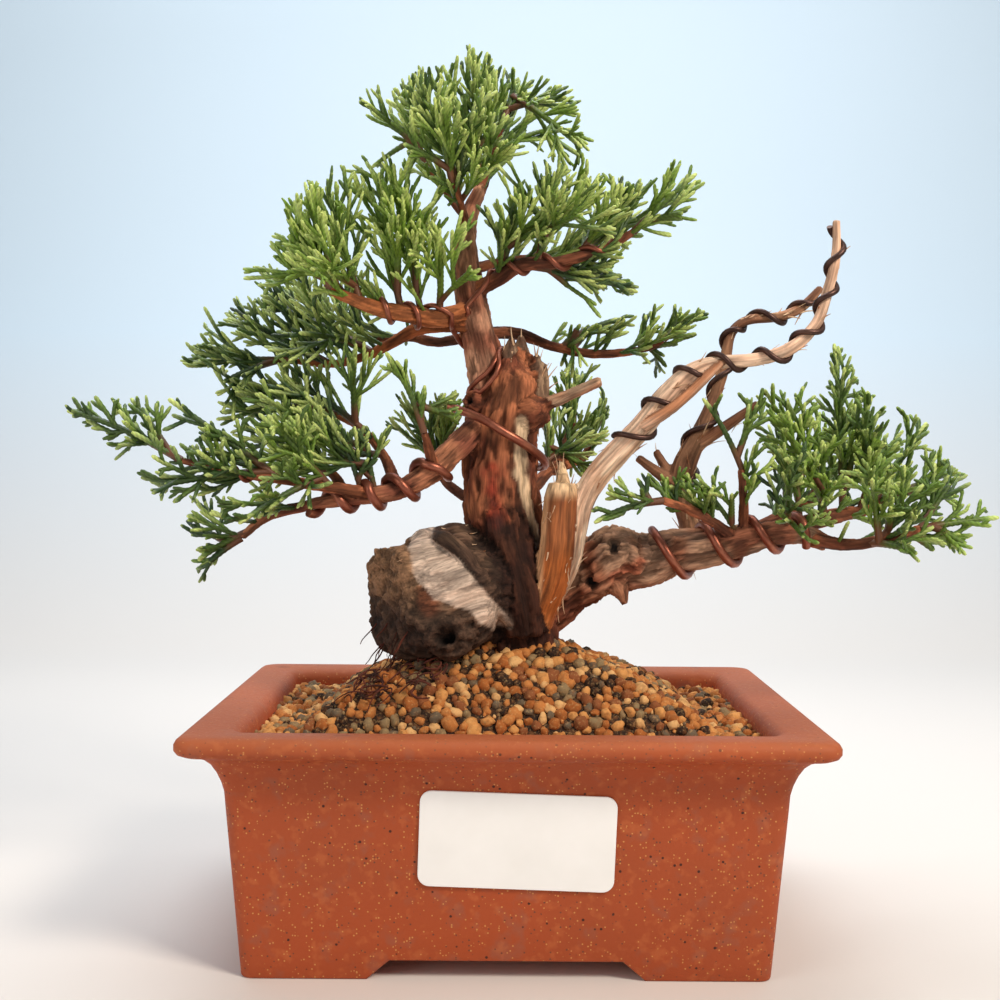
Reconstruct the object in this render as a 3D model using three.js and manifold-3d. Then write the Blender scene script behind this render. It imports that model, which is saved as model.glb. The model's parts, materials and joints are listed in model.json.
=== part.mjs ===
// Itoigawa juniper bonsai, wired and styled, in a rectangular unglazed clay pot.
// Lengths are millimetres, +Z is up and the front faces -Y. Every table below is measured from the
// point on the table under the trunk. The whole group is then moved, so that its origin lies under the
// middle of the whole outline, which the foliage makes lopsided.
import * as THREE from "three";
import { mergeVertices } from "three/addons/utils/BufferGeometryUtils.js";
import Module from "manifold-3d";

const wasm = await Module();
wasm.setup();

// Driving dimensions

const OUTLINE_MIDDLE = [8.8, 2.5]; // middle of the whole outline, seen from the trunk
const POT_BACK = 2.5; // how far the pot's middle lies behind the trunk
const CLEARANCE = 0.3; // between neighbouring solids
const GRID = 0.002; // to which a cut body's vertices snap, so that no sliver is left

const RIM_HALF = [83, 63.5]; // the pot's largest half length and half width
const POT_HEIGHT = 64.5;
const FOOT_HEIGHT = 5;
const FLOOR_TOP = 11;
const WALL_TOP = 48.6; // where the straight outer wall turns out into the rim
const FOOT_INSET = 14.4; // of the wall's foot, inside the rim's edge
const WALL_INSET = 10.6; // of the wall's top, inside the rim's edge

// Each row of a profile is an inset from the rim's edge, a height and a corner radius.
const POT_OUTSIDE = [
  [FOOT_INSET, 0, 3.5],
  [WALL_INSET, WALL_TOP, 4],
  [9.4, 53.4, 4.2],
  [7.4, 56.6, 4.5],
  [3.4, 59, 4.8],
  [0.8, 59.7, 5],
  [0, 61, 5],
  [0.3, 63.4, 5],
  [1.6, 64.3, 4.8],
  [3.4, POT_HEIGHT, 4.6],
];
const POT_INSIDE = [
  [19.5, FLOOR_TOP, 3.5],
  [15.6, 52, 4.5],
  [14.4, 60.5, 5],
  [13.4, 63, 5.5],
  [12.2, 63.8, 6],
  [2.6, POT_HEIGHT + 0.3, 5],
];

// The gaps between the feet: half widths at the table and at the foot's top.
const FRONT_GAP = [36, 30];
const SIDE_GAP = [26, 21];

const DRAIN = { radius: 6.5, offset: 36, sides: 16 };
const DRAIN_MESH = { bars: 3, pitch: 6.6, width: 1.6, thickness: 1 };

const LABEL = { width: 50, height: 25, corner: 3, thickness: 0.5, x: 2.6, z: 37, turn: -0.031 };

// The soil's mound: edge height, extra height in the middle, its middle and its reach.
const MOUND = { edge: 61, rise: 26, x: 0, y: 1, reachX: 72, reachY: 53, power: 0.65, grain: 0.9 };

// The soil's body: the steps of its rings in a corner, along a long and along a short side, the rings
// over the mound, and the seed of its grains.
const SOIL = { corner: 2, long: 13, short: 9, rings: 9, seed: 77 };

const KNOT_HOLE = { centre: [-16.5, -26.5, 84.5], radius: 3.4 };

// A spray's axes: radii of the first, of the others and at their ends, where the others leave the
// first, past the bark and then step by step, the turn of the whorls from one axis to the next, where
// an axis bends, how far the first sweeps out there, how far all may swerve there (both as shares of
// their length), how far along the limb the root may shift, and the most draws of the cords.
const SPRAY = {
  start: 1.1,
  side: 0.85,
  end: 0.6,
  past: 2,
  step: 4,
  turn: 0.7,
  bend: 0.45,
  sweep: 0.12,
  swerves: [
    [0, 0, 0.06],
    [0, 0, 0.16],
    [0, -0.14, 0.06],
    [0, 0.14, 0.06],
    [-0.14, 0, 0.06],
    [0.14, 0, 0.06],
    [0, -0.1, -0.1],
    [0, 0, -0.14],
    [0, -0.24, 0],
    [0, 0.24, 0],
  ],
  shifts: [0, -0.03, 0.03, -0.06, 0.06, -0.09, 0.09, -0.12, 0.12],
  draws: 12,
};

// The cords on an axis: true thickness, lengths, slants and swing in degrees, upward lean, the spacing
// of their whorls, the part of the axis that bears them, how far they may reach past its tip, where
// along a cord its own room begins and where it narrows, the attempts at a clear cord and how much
// each attempt shortens it.
const CORD = {
  width: 1.25,
  length: [10, 17],
  slant: [28, 46],
  swing: 20,
  lift: 0.12,
  spacing: 7.2,
  between: [0.08, 0.94],
  past: 3,
  room: [0.16, 0.55],
  attempts: 8,
  shrink: 0.08,
};

// Limbs of the tree: points on each limb's middle line, with the radius there.
const LIMBS = {
  trunk: [
    [6, 1, 56, 9],
    [4, 0, 70, 11],
    [3, 0, 82, 11],
    [1.5, 0, 93, 11.3],
    [0, 0, 108, 11],
    [-2, 0, 122, 10.7],
    [-2, 0, 137, 10.4],
    [-0.5, 0, 149, 10],
    [0.8, 0, 157, 8.8],
    [1.5, 0, 160, 6.5],
  ],
  knob: [
    [-40.3, -12, 95.5, 10.5],
    [-38.2, -12, 95.5, 13.4],
    [-30, -11.5, 93.8, 16.2],
    [-21, -10, 94.5, 18.6],
    [-14, -8, 96.5, 18.2],
    [-7, -4, 96, 14],
    [0, -1, 95, 10],
  ],
  trunk_foot: [[-2, -3, 118, 8], [0.5, -7.5, 106, 8.5], [3.5, -9.5, 96, 7.6], [5.5, -8.5, 85, 6.5]],
  knob_lip: [
    [-22.5, -8, 112.5, 2.2],
    [-15.8, -20.5, 111, 2.4],
    [-9.7, -22.5, 104.4, 2.3],
    [-3.6, -18, 95.5, 2.1],
    [2, -12.5, 87, 1.8],
  ],
  knob_burl: [[-16.3, -15, 88.5, 9], [-16.3, -21.5, 86.5, 8], [-16.4, -25.5, 85.5, 5.6]],
  burl_left: [[-5, -1, 148, 5], [-10, -3.5, 150.3, 3.7], [-12, -4.5, 151, 2]],
  burl_stub: [[3, -4, 147, 5.5], [8, -7, 147.6, 4.6], [10.4, -8.4, 148.4, 3]],
  burl_right: [[25, -2, 103, 7.5], [31.5, -3.5, 107, 8.2], [37, -4, 106.5, 6.5]],
  spur_right: [[31, -4, 99, 3.8], [33, -5, 94.6, 1.7], [33.6, -5, 92.6, 0.7]],
  splinter_front: [[0, -3, 150, 6], [0, -3.4, 160, 4], [0.6, -3.4, 169, 0.8]],
  splinter_middle: [[3, 1, 148, 6], [3.4, 1, 160, 4.2], [3.4, 0, 170, 0.8]],
  splinter_right: [[5.5, -1, 150, 5.5], [7.2, -1, 158, 3.4], [8, -1.5, 164.6, 0.7]],
  splinter_end: [[7, -1, 146, 4.5], [9.2, -1, 155, 2.6], [10.3, -1, 162, 0.6]],
  stub: [[4, -3, 147, 3], [10, -7, 149.5, 2.3], [17, -10, 152.4, 1.6], [25.4, -14, 156, 1.5]],
  leader: [
    [-4, 0, 143, 6],
    [-5.5, 0, 155, 5.9],
    [-8, 0, 167, 4.9],
    [-11, 0, 180, 4.4],
    [-13, 1, 193, 3.5],
    [-12, 2, 204, 2.6],
    [-9, 2, 212, 1.8],
  ],
  crown_right_twig: [[-10, 2, 210, 1.5], [-6, 4, 222, 1.5], [-2, 6, 234, 1]],
  crown_left_twig: [[-12, 2, 203, 1.5], [-19, 8, 213, 1.3], [-26, 10, 222, 1]],
  crown_front_twig: [[-12, 2, 200, 1.5], [-14, -12, 205, 1.3], [-16, -22, 209, 1]],
  crown_back_twig: [[-11, 3, 206, 1.5], [-8, 16, 216, 1.4], [-6, 28, 226, 1.1]],
  right_crown: [
    [-11, 0, 182, 2.6],
    [-3, -5, 186, 2.3],
    [3, -8, 189, 2],
    [14, -8, 190, 1.7],
    [26, -6, 194, 1.4],
    [35, -5, 199, 1.1],
  ],
  right_crown_back: [[-12, 3, 189, 1.8], [-3, 14, 193, 1.5], [9, 24, 196, 1.2], [22, 30, 195, 1.1]],
  upper_left: [
    [-11, 0, 177, 2.9],
    [-20, -8, 174, 2.8],
    [-28, -14, 174, 2.5],
    [-39, -18, 176, 2.2],
    [-49, -20, 180, 1.4],
  ],
  left_mid: [
    [-8, -1, 172, 2],
    [-24, -3, 172, 2],
    [-33, 0, 168, 1.7],
    [-42, 4, 164, 1.5],
    [-53, 8, 162, 1.2],
    [-64, 10, 163, 1],
  ],
  left_back: [
    [-10, 2, 170, 1.8],
    [-21, 12, 169, 1.5],
    [-30, 18, 171, 1.5],
    [-40, 26, 171, 1.2],
    [-50, 32, 173, 1.1],
  ],
  low_left: [
    [-3, 0, 145, 4],
    [-9, -4, 143, 4.1],
    [-15, -10, 137, 3.7],
    [-21, -15, 131, 3.3],
    [-29, -18, 126, 2.8],
    [-37, -20, 124, 2.5],
    [-45, -20, 123, 2.2],
    [-55, -20, 121, 1.6],
    [-66, -20, 118, 1.4],
    [-73, -22, 112, 1.1],
  ],
  low_left_arm: [
    [-36, -20, 124, 1.9],
    [-48, -26, 126, 1.6],
    [-61, -30, 128, 1.3],
    [-74, -32, 130, 1.1],
    [-87, -32, 133, 0.9],
  ],
  low_left_rise: [[-31, -18, 126, 1.9], [-36, -10, 136, 1.4], [-43, -2, 143, 1.2], [-51, 4, 147, 1]],
  low_left_twig: [[-44, -20, 123, 1.6], [-50, -12, 130, 1.4], [-59, -5, 136, 1]],
  bright_twig: [[-21, -15, 131, 1.7], [-22, -22, 137, 1.4], [-23, -26, 141, 1.1]],
  trunk_back_twig: [[-5, 2, 119, 2], [-16, 14, 125, 1.5], [-21, 22, 130, 1.2], [-21, 26, 137, 1.1]],
  mid_right: [
    [-7, 4, 171, 2.1],
    [3, 16, 172, 1.8],
    [13, 22, 169, 1.5],
    [26, 24, 167, 1.5],
    [40, 22, 168, 1.2],
    [47, 20, 171, 1.1],
  ],
  back_rise: [[2, 4, 121, 2.6], [11, 24, 129, 1.9], [17, 36, 136, 1.6], [21, 42, 146, 1.3]],
  back_fork: [[14, 28, 131, 1.9], [25, 40, 136, 1.6], [28, 46, 144, 1.3]],
  jin_main: [
    [9.5, -8, 87, 3],
    [11.4, -10, 92.5, 2.8],
    [15, -11.5, 99, 2.8],
    [18, -12, 106.5, 2.8],
    [19.4, -12, 114, 2.8],
    [20.8, -12, 121.5, 3.1],
    [24, -12.5, 128.5, 3.6],
    [29, -13.5, 134.6, 3.5],
    [37, -15.5, 143.4, 3.3],
    [43, -16, 151, 3.4],
    [50, -18, 158, 2.8],
    [57, -18, 161, 1.9],
    [68, -18, 162, 1.9],
    [77, -20, 165, 1.9],
    [84, -20, 172, 1.6],
    [87, -20, 181, 1.6],
    [89, -20, 190, 1.4],
    [89, -20, 200, 1.1],
  ],
  jin_fork: [[35, -16, 142, 2], [44, -21, 148, 1.6], [51, -21, 154, 1.4], [58, -19, 161, 1.3]],
  jin_break: [
    [8.5, -8, 87, 4.2],
    [9.7, -9.8, 92.5, 4.6],
    [12, -11.5, 99, 5],
    [13.6, -12.5, 107, 5.1],
    [14.3, -12.5, 116, 5],
    [14.8, -12.5, 123.5, 4.7],
    [15, -12.5, 127.4, 3.8],
  ],
  jin_chip: [[15.5, -8.5, 124, 2.8], [15.2, -8.5, 130, 1.7], [14.8, -8.5, 133.6, 0.7]],
  jin_second: [
    [51, -3, 106, 4],
    [54, 4, 109, 3.6],
    [54, 8, 115, 3.2],
    [52, 8, 122, 3],
    [52, 8, 132, 3.6],
    [57, 8, 143, 2.7],
    [61, 9, 153, 1.8],
    [64, 10, 163, 1.8],
    [66, 10, 172, 1.5],
    [71, 10, 176, 1.5],
    [80, 10, 177, 1.5],
    [87, 12, 180, 1.5],
    [93, 12, 186, 1.2],
  ],
  jin_second_right: [[52, 8, 136, 2.1], [62, 6, 143, 1.8], [73, 4, 151, 1.2]],
  jin_second_left: [[52, 8, 125, 2.4], [45, 8, 130, 1.8], [38, 6, 135, 1.2]],
  jin_second_spur: [[51, 8, 127, 1.8], [47, 10, 132, 1.5], [44, 12, 137, 1.2]],
  low_right: [
    [5, 3, 87, 8],
    [11, 3, 92, 8.2],
    [21, 1, 100, 8.6],
    [30, 0, 104, 8.6],
    [40, -2, 105, 7.5],
    [49, -4, 108, 6],
    [61, -6, 110, 4.9],
    [72, -8, 113, 4],
    [82, -10, 114, 3.1],
    [90, -11, 111, 2.3],
  ],
  low_right_upper: [
    [76, -9, 114, 2.5],
    [92, -4, 118, 2.3],
    [104, 2, 120, 1.8],
    [113, 6, 124, 1.3],
  ],
  low_right_lower: [[86, -11, 112, 2.3], [94, -18, 111, 1.7], [104, -22, 113, 1.4], [112, -24, 116, 1.1]],
  low_right_back: [[64, -4, 111, 2.3], [79, 14, 116, 1.8], [91, 26, 121, 1.6], [102, 34, 125, 1.3]],
  low_right_rise: [[67, -7, 112, 1.7], [66, -12, 123, 1.4], [65, -14, 132, 1.1]],
  low_right_return: [[65, -7, 112, 1.7], [53, -18, 119, 1.4], [42, -24, 123, 1.1]],
};

// Sides of each thick limb's tube and rows in each span of its table. Twigs have five sides, one row.
const LIMB_DETAIL = {
  trunk: [12, 2],
  trunk_foot: [9, 1],
  knob: [14, 1],
  jin_break: [7, 1],
  knob_burl: [8, 1],
  burl_right: [8, 1],
  leader: [7, 1],
  low_left: [6, 1],
  jin_main: [7, 1],
  jin_second: [5, 1],
  low_right: [9, 1],
};
const TWIG_DETAIL = [5, 1];
const JIN_DEPTH = 0.8; // the bare branch is split wood, shallower than it is wide
const KNOB_CUT = { normal: [0.8, 0.59, 0.06], offset: -30 }; // the old sawn face of the knob

// Sprays of foliage: the limb, the place along it and the tips that the spray's axes reach.
const SPRAYS = [
  ["leader", 1, [[-11, 0, 248], [-21, -8, 240], [-3, -6, 238]]],
  ["crown_right_twig", 1, [[1, 10, 246], [16, 2, 239], [20, -8, 222]]],
  ["crown_left_twig", 1, [[-30, 8, 246], [-43, 4, 238], [-42, 18, 222]]],
  ["crown_front_twig", 1, [[-19, -32, 225], [-30, -34, 217]]],
  ["crown_front_twig", 0.55, [[-2, -32, 216]]],
  ["crown_back_twig", 1, [[-3, 38, 253], [12, 42, 240]]],
  ["crown_back_twig", 0.5, [[-24, 38, 241]]],
  ["right_crown", 0.5, [[9, -16, 212], [23, -2, 212], [19, -30, 199]]],
  ["right_crown", 0.82, [[37, -2, 212]]],
  ["right_crown", 1, [[53, -4, 216], [50, -14, 203]]],
  ["right_crown_back", 1, [[38, 36, 188], [32, 48, 208]]],
  ["right_crown_back", 0.6, [[16, 38, 214]]],
  ["upper_left", 1, [[-64, -20, 202], [-70, -12, 191]]],
  ["upper_left", 0.8, [[-51, -16, 209], [-52, -38, 183]]],
  ["upper_left", 0.55, [[-40, -10, 211], [-30, -28, 199]]],
  ["upper_left", 0.25, [[-19, -26, 193], [-8, -30, 186]]],
  ["left_mid", 1, [[-94, 8, 162], [-85, -4, 154]]],
  ["left_mid", 0.8, [[-85, 16, 176]]],
  ["left_mid", 0.55, [[-76, 24, 183], [-59, -12, 169]]],
  ["left_back", 1, [[-71, 46, 184], [-54, 52, 190]]],
  ["low_left_rise", 1, [[-78, 12, 156], [-86, 4, 147]]],
  ["low_left_rise", 0.6, [[-62, 0, 155], [-44, -14, 161]]],
  ["low_left_twig", 1, [[-75, 4, 139]]],
  ["low_left", 1, [[-85, -26, 101], [-91, -16, 116]]],
  ["low_left_arm", 1, [[-118, -30, 146], [-103, -24, 150]]],
  ["low_left_arm", 0.5, [[-89, -38, 149], [-96, -42, 125]]],
  ["low_left_arm", 0.25, [[-63, -38, 145], [-69, -46, 117]]],
  ["bright_twig", 1, [[-33, -32, 162], [-23, -24, 154], [-13, -20, 144]]],
  ["trunk_back_twig", 1, [[-21, 30, 155]]],
  ["mid_right", 0.5, [[28, 30, 177]]],
  ["mid_right", 0.8, [[42, 24, 179], [51, 28, 161]]],
  ["mid_right", 1, [[60, 18, 180]]],
  ["back_rise", 1, [[23, 46, 162], [12, 42, 157]]],
  ["back_fork", 1, [[35, 52, 156], [54, 58, 141]]],
  ["low_right_rise", 1, [[53, -20, 151], [70, -14, 151]]],
  ["low_right_return", 1, [[23, -28, 117], [35, -22, 129]]],
  ["low_right_upper", 0.15, [[80, -2, 154]]],
  ["low_right_upper", 0.45, [[96, 8, 169], [105, 0, 153]]],
  ["low_right_upper", 0.75, [[125, 12, 146]]],
  ["low_right_upper", 1, [[136, 8, 133], [129, 0, 124]]],
  ["low_right_lower", 1, [[134, -22, 119], [125, -30, 110]]],
  ["low_right_lower", 0.5, [[111, -36, 108], [95, -36, 132]]],
  ["low_right_back", 0.5, [[86, 34, 144], [112, 46, 151]]],
  ["low_right_back", 1, [[127, 52, 138]]],
  ["low_right", 0.85, [[75, -30, 134], [80, -30, 112]]],
];

// Solids

// A three.js geometry as a solid that can be joined and cut.
function solid(geometry) {
  const bare = geometry.clone();
  bare.deleteAttribute("normal");
  bare.deleteAttribute("uv");
  const merged = mergeVertices(bare, 1e-4);
  return new wasm.Manifold(
    new wasm.Mesh({
      numProp: 3,
      vertProperties: merged.attributes.position.array,
      triVerts: new Uint32Array(merged.index.array),
    }),
  );
}

// A solid as a named mesh in one material.
function mesh(name, body, material) {
  const data = body.getMesh();
  const geometry = new THREE.BufferGeometry();
  geometry.setAttribute("position", new THREE.BufferAttribute(new Float32Array(data.vertProperties), 3));
  geometry.setIndex(new THREE.BufferAttribute(new Uint32Array(data.triVerts), 1));
  geometry.computeVertexNormals();
  const made = new THREE.Mesh(geometry, material);
  made.name = name;
  return made;
}

// A closed body made from a cylinder whose vertices a rule moves. The rule gets the turn about the
// length, the place along it from 0 to 1, and 0 in the middle of an end or 1 on the side.
function shaped(sides, rows, rule, pointed = false) {
  const geometry = new THREE.CylinderGeometry(pointed ? 0 : 1, 1, 1, sides, rows);
  const position = geometry.attributes.position;
  for (let i = 0; i < position.count; i++) {
    const across = position.getZ(i);
    const up = position.getX(i);
    const out = Math.hypot(across, up) > 1e-9 ? 1 : 0;
    const moved = rule(Math.atan2(up, across), position.getY(i) + 0.5, out);
    position.setXYZ(i, moved.x, moved.y, moved.z);
  }
  return solid(geometry);
}

// A loft through rings of points, all with the same number of points and running the same way round.
function loft(rings) {
  const sides = rings[0].length;
  const rows = rings.length - 1;
  const middles = rings.map((ring) => ring.reduce((sum, p) => sum.clone().add(p)).divideScalar(sides));
  return shaped(sides, rows, (turn, along, out) => {
    const row = Math.round(along * rows);
    const index = (Math.round((turn / (2 * Math.PI)) * sides) + sides) % sides;
    return out ? rings[row][index] : middles[row];
  });
}

// A tapering tube along a line of points. With a relief, its radius varies with the turn and the row.
function tube(middles, radii, sides, { pointed = false, relief = () => 1, depth = 1 } = {}) {
  const last = middles.length - 1;
  const tangents = middles.map((p, k) =>
    middles[Math.min(k + 1, last)].clone().sub(middles[Math.max(k - 1, 0)]).normalize(),
  );
  const start = Math.abs(tangents[0].z) < 0.9 ? new THREE.Vector3(0, 0, 1) : new THREE.Vector3(1, 0, 0);
  const across = [];
  for (let k = 0; k <= last; k++) {
    const before = k ? across[k - 1] : start;
    across.push(before.clone().addScaledVector(tangents[k], -before.dot(tangents[k])).normalize());
  }
  return shaped(
    sides,
    last,
    (turn, along, out) => {
      const k = Math.round(along * last);
      const radius = out * radii[k] * relief(turn, k);
      const up = tangents[k].clone().cross(across[k]);
      const offset = across[k].clone().multiplyScalar(Math.cos(turn)).addScaledVector(up, Math.sin(turn));
      offset.y *= depth;
      return middles[k].clone().addScaledVector(offset, radius);
    },
    pointed,
  );
}

function joined(bodies) {
  return bodies.reduce((whole, body) => whole.add(body));
}

// A cut body with its vertices snapped to a fine grid, without the faces and scraps that this closes
// up. It is null where an edge no longer joins exactly two faces.
function snapped(body) {
  const { vertProperties, triVerts } = body.getMesh();
  const places = new Map();
  const points = [];
  const place = (vertex) => {
    const corner = Array.from(vertProperties.slice(3 * vertex, 3 * vertex + 3), (x) => Math.round(x / GRID));
    const key = corner.join();
    if (!places.has(key)) places.set(key, points.push(point(corner).multiplyScalar(GRID)) - 1);
    return places.get(key);
  };
  const faces = [];
  const uses = new Map();
  for (let i = 0; i < triVerts.length; i += 3) {
    const face = [place(triVerts[i]), place(triVerts[i + 1]), place(triVerts[i + 2])];
    if (new Set(face).size < 3) continue;
    faces.push(face);
    face.forEach((a, k) => {
      const edge = [a, face[(k + 1) % 3]].sort((m, n) => m - n).join();
      uses.set(edge, (uses.get(edge) ?? 0) + 1);
    });
  }
  if ([...uses.values()].some((count) => count !== 2)) return null;
  const geometry = new THREE.BufferGeometry().setFromPoints(points);
  geometry.setIndex(faces.flat());
  const pieces = solid(geometry).decompose();
  return pieces.reduce((best, piece) => (piece.volume() > best.volume() ? piece : best));
}

function point([x, y, z]) {
  return new THREE.Vector3(x, y, z);
}

// The points of a rectangle with round corners, anticlockwise from the middle of its right side's end.
function rectangleRing(halfX, halfY, radius, arcSteps, longSteps, shortSteps) {
  const corners = [[1, 1], [-1, 1], [-1, -1], [1, -1]];
  const ring = [];
  corners.forEach(([sx, sy], quarter) => {
    const middle = [sx * (halfX - radius), sy * (halfY - radius)];
    for (let k = 0; k <= arcSteps; k++) {
      const angle = ((quarter + k / arcSteps) * Math.PI) / 2;
      ring.push([middle[0] + radius * Math.cos(angle), middle[1] + radius * Math.sin(angle)]);
    }
    const steps = quarter % 2 ? shortSteps : longSteps;
    const from = ring[ring.length - 1];
    const [nx, ny] = corners[(quarter + 1) % 4];
    const angle = ((quarter + 1) * Math.PI) / 2;
    const to = [
      nx * (halfX - radius) + radius * Math.cos(angle),
      ny * (halfY - radius) + radius * Math.sin(angle),
    ];
    for (let k = 1; k < steps; k++)
      ring.push([from[0] + ((to[0] - from[0]) * k) / steps, from[1] + ((to[1] - from[1]) * k) / steps]);
  });
  return ring;
}

// Pot

function potRing([inset, height, radius]) {
  const ring = rectangleRing(RIM_HALF[0] - inset, RIM_HALF[1] - inset, radius, 4, 1, 1);
  return ring.map(([x, y]) => new THREE.Vector3(x, y, height));
}

// A prism through the pot's foot, wider at the table, which leaves a foot at each corner.
function footGap([wide, narrow], length, turned) {
  const below = 1;
  const outline = new THREE.Shape([
    new THREE.Vector2(-wide - below, -below),
    new THREE.Vector2(wide + below, -below),
    new THREE.Vector2(narrow, FOOT_HEIGHT),
    new THREE.Vector2(-narrow, FOOT_HEIGHT),
  ]);
  const prism = new THREE.ExtrudeGeometry(outline, { depth: length, bevelEnabled: false });
  prism.translate(0, 0, -length / 2);
  prism.rotateX(Math.PI / 2);
  prism.rotateZ(turned ? Math.PI / 2 : 0);
  return solid(prism);
}

function pot() {
  const frontGap = footGap(FRONT_GAP, 2 * RIM_HALF[1], false);
  const sideGap = footGap(SIDE_GAP, 2 * RIM_HALF[0], true);
  const drains = [-1, 1].map((side) => {
    const hole = new THREE.CylinderGeometry(DRAIN.radius, DRAIN.radius, 2 * FLOOR_TOP, DRAIN.sides);
    hole.rotateX(Math.PI / 2);
    hole.translate(side * DRAIN.offset, 0, FLOOR_TOP / 2);
    return solid(hole);
  });
  return loft(POT_OUTSIDE.map(potRing))
    .subtract(loft(POT_INSIDE.map(potRing)))
    .subtract(frontGap.add(sideGap))
    .subtract(joined(drains))
    .translate([0, POT_BACK, 0]);
}

// Crossed bars, laid over a drain hole.
function drainMesh(side) {
  const { bars, pitch, width, thickness } = DRAIN_MESH;
  const length = (bars - 1) * pitch + width;
  const all = [];
  for (let k = 0; k < bars; k++) {
    const shift = (k - (bars - 1) / 2) * pitch;
    const along = new THREE.BoxGeometry(length, width, thickness);
    const across = new THREE.BoxGeometry(width, length, thickness);
    all.push(solid(along.translate(0, shift, 0)), solid(across.translate(shift, 0, 0)));
  }
  return joined(all).translate([side * DRAIN.offset, POT_BACK, FLOOR_TOP + CLEARANCE + thickness / 2]);
}

// The sticker lies on the front wall, which leans out towards the rim.
function label() {
  const lean = Math.atan2(FOOT_INSET - WALL_INSET, WALL_TOP);
  const wall = RIM_HALF[1] - POT_BACK - FOOT_INSET + LABEL.z * Math.tan(lean);
  const [w, h, r] = [LABEL.width / 2, LABEL.height / 2, LABEL.corner];
  const outline = new THREE.Shape();
  outline.absarc(w - r, h - r, r, 0, Math.PI / 2);
  outline.absarc(r - w, h - r, r, Math.PI / 2, Math.PI);
  outline.absarc(r - w, r - h, r, Math.PI, 1.5 * Math.PI);
  outline.absarc(w - r, r - h, r, 1.5 * Math.PI, 2 * Math.PI);
  const plate = new THREE.ExtrudeGeometry(outline, {
    depth: LABEL.thickness,
    bevelEnabled: false,
    curveSegments: 3,
  });
  plate.translate(0, 0, CLEARANCE);
  plate.rotateZ(LABEL.turn);
  plate.rotateX(Math.PI / 2 + lean);
  plate.translate(LABEL.x, -wall, LABEL.z);
  return solid(plate);
}

// Soil

function moundHeight(x, y) {
  const away = Math.hypot((x - MOUND.x) / MOUND.reachX, (y - MOUND.y) / MOUND.reachY);
  return MOUND.edge + MOUND.rise * Math.pow(1 - Math.min(away, 1), MOUND.power);
}

// The pot's filling: its walls, then rings that shrink over the mound, with each point of the top
// raised or sunk a little as grains are.
function soil(buried) {
  const random = randomFrom(SOIL.seed);
  const wallRing = ([inset, height, radius]) =>
    rectangleRing(
      RIM_HALF[0] - inset - CLEARANCE,
      RIM_HALF[1] - inset - CLEARANCE,
      radius,
      SOIL.corner,
      SOIL.long,
      SOIL.short,
    ).map(([x, y]) => new THREE.Vector3(x, y + POT_BACK, height));
  const [floor, wall, edge] = POT_INSIDE;
  const rings = [wallRing([floor[0], FLOOR_TOP + CLEARANCE, floor[2]]), wallRing(wall)];
  const rim = wallRing(edge);
  for (let k = 0; k < SOIL.rings; k++) {
    const share = 1 - k / SOIL.rings;
    rings.push(
      rim.map(({ x, y }) => {
        const [px, py] = [x * share, POT_BACK + (y - POT_BACK) * share];
        const grain = MOUND.grain * Math.sqrt(share) * (2 * random() - 1);
        return new THREE.Vector3(px, py, moundHeight(px, py) + grain);
      }),
    );
  }
  const pockets = [-1, 1].map((side) => {
    const room = (DRAIN_MESH.bars - 1) * DRAIN_MESH.pitch + DRAIN_MESH.width + 2 * CLEARANCE;
    const height = 2 * (DRAIN_MESH.thickness + 2 * CLEARANCE);
    const pocket = new THREE.BoxGeometry(room, room, height);
    pocket.translate(side * DRAIN.offset, POT_BACK, FLOOR_TOP);
    return solid(pocket);
  });
  return snapped(loft(rings).subtract(joined(pockets)).subtract(buried));
}

// A seeded generator of numbers from 0 to 1.
function randomFrom(seed) {
  let state = seed % 2147483647;
  const next = () => {
    state = (state * 16807) % 2147483647;
    return state / 2147483647;
  };
  next();
  next();
  return next;
}

// Tree

const limbs = new Map();
for (const [name, points] of Object.entries(LIMBS)) {
  const curve = new THREE.CatmullRomCurve3(points.map(point), false, "catmullrom", 0.5);
  const spans = points.length - 1;
  const radius = (t) => {
    const span = Math.min(Math.floor(t * spans), spans - 1);
    return THREE.MathUtils.lerp(points[span][3], points[span + 1][3], t * spans - span);
  };
  limbs.set(name, { name, curve, spans, radius });
}

// Ridged bark on the knob, the trunk and the thick low branch: heights in shares of the radius,
// ridges round the limb and their turn from row to row.
const RIDGED = ["trunk", "knob", "low_right"];
const RIDGES = [[0.05, 3, 0.7], [0.04, 5, -1.1]];
const RELIEF_MOST = RIDGES.reduce((most, [height]) => most + height, 1);

function barkRelief(turn, row) {
  const ridge = ([height, count, drift]) => height * Math.sin(count * turn + drift * row);
  return RIDGES.reduce((relief, each) => relief + ridge(each), 1);
}

function limbBody(limb, grow) {
  const [sides, rowsPerSpan] = LIMB_DETAIL[limb.name] ?? TWIG_DETAIL;
  const rows = rowsPerSpan * limb.spans;
  const places = Array.from({ length: rows + 1 }, (_, k) => k / rows);
  const middles = places.map((t) => limb.curve.getPoint(t));
  middles[0].addScaledVector(limb.curve.getTangent(0), -grow);
  middles[rows].addScaledVector(limb.curve.getTangent(1), grow);
  const radii = places.map((t) => limb.radius(t) + grow);
  const body = tube(middles, radii, sides, {
    relief: RIDGED.includes(limb.name) ? barkRelief : undefined,
    depth: limb.name === "jin_main" ? JIN_DEPTH : 1,
  });
  return limb.name === "knob" ? body.trimByPlane(KNOB_CUT.normal, KNOB_CUT.offset - grow) : body;
}

function wood(grow) {
  return joined([...limbs.values()].map((limb) => limbBody(limb, grow)));
}

// Capsules, for finding room: a middle line's two ends with a radius

function capsulesAlong(points, radii) {
  return points.slice(1).map((b, k) => ({ a: points[k], b, radius: Math.max(radii[k], radii[k + 1]) }));
}

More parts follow.
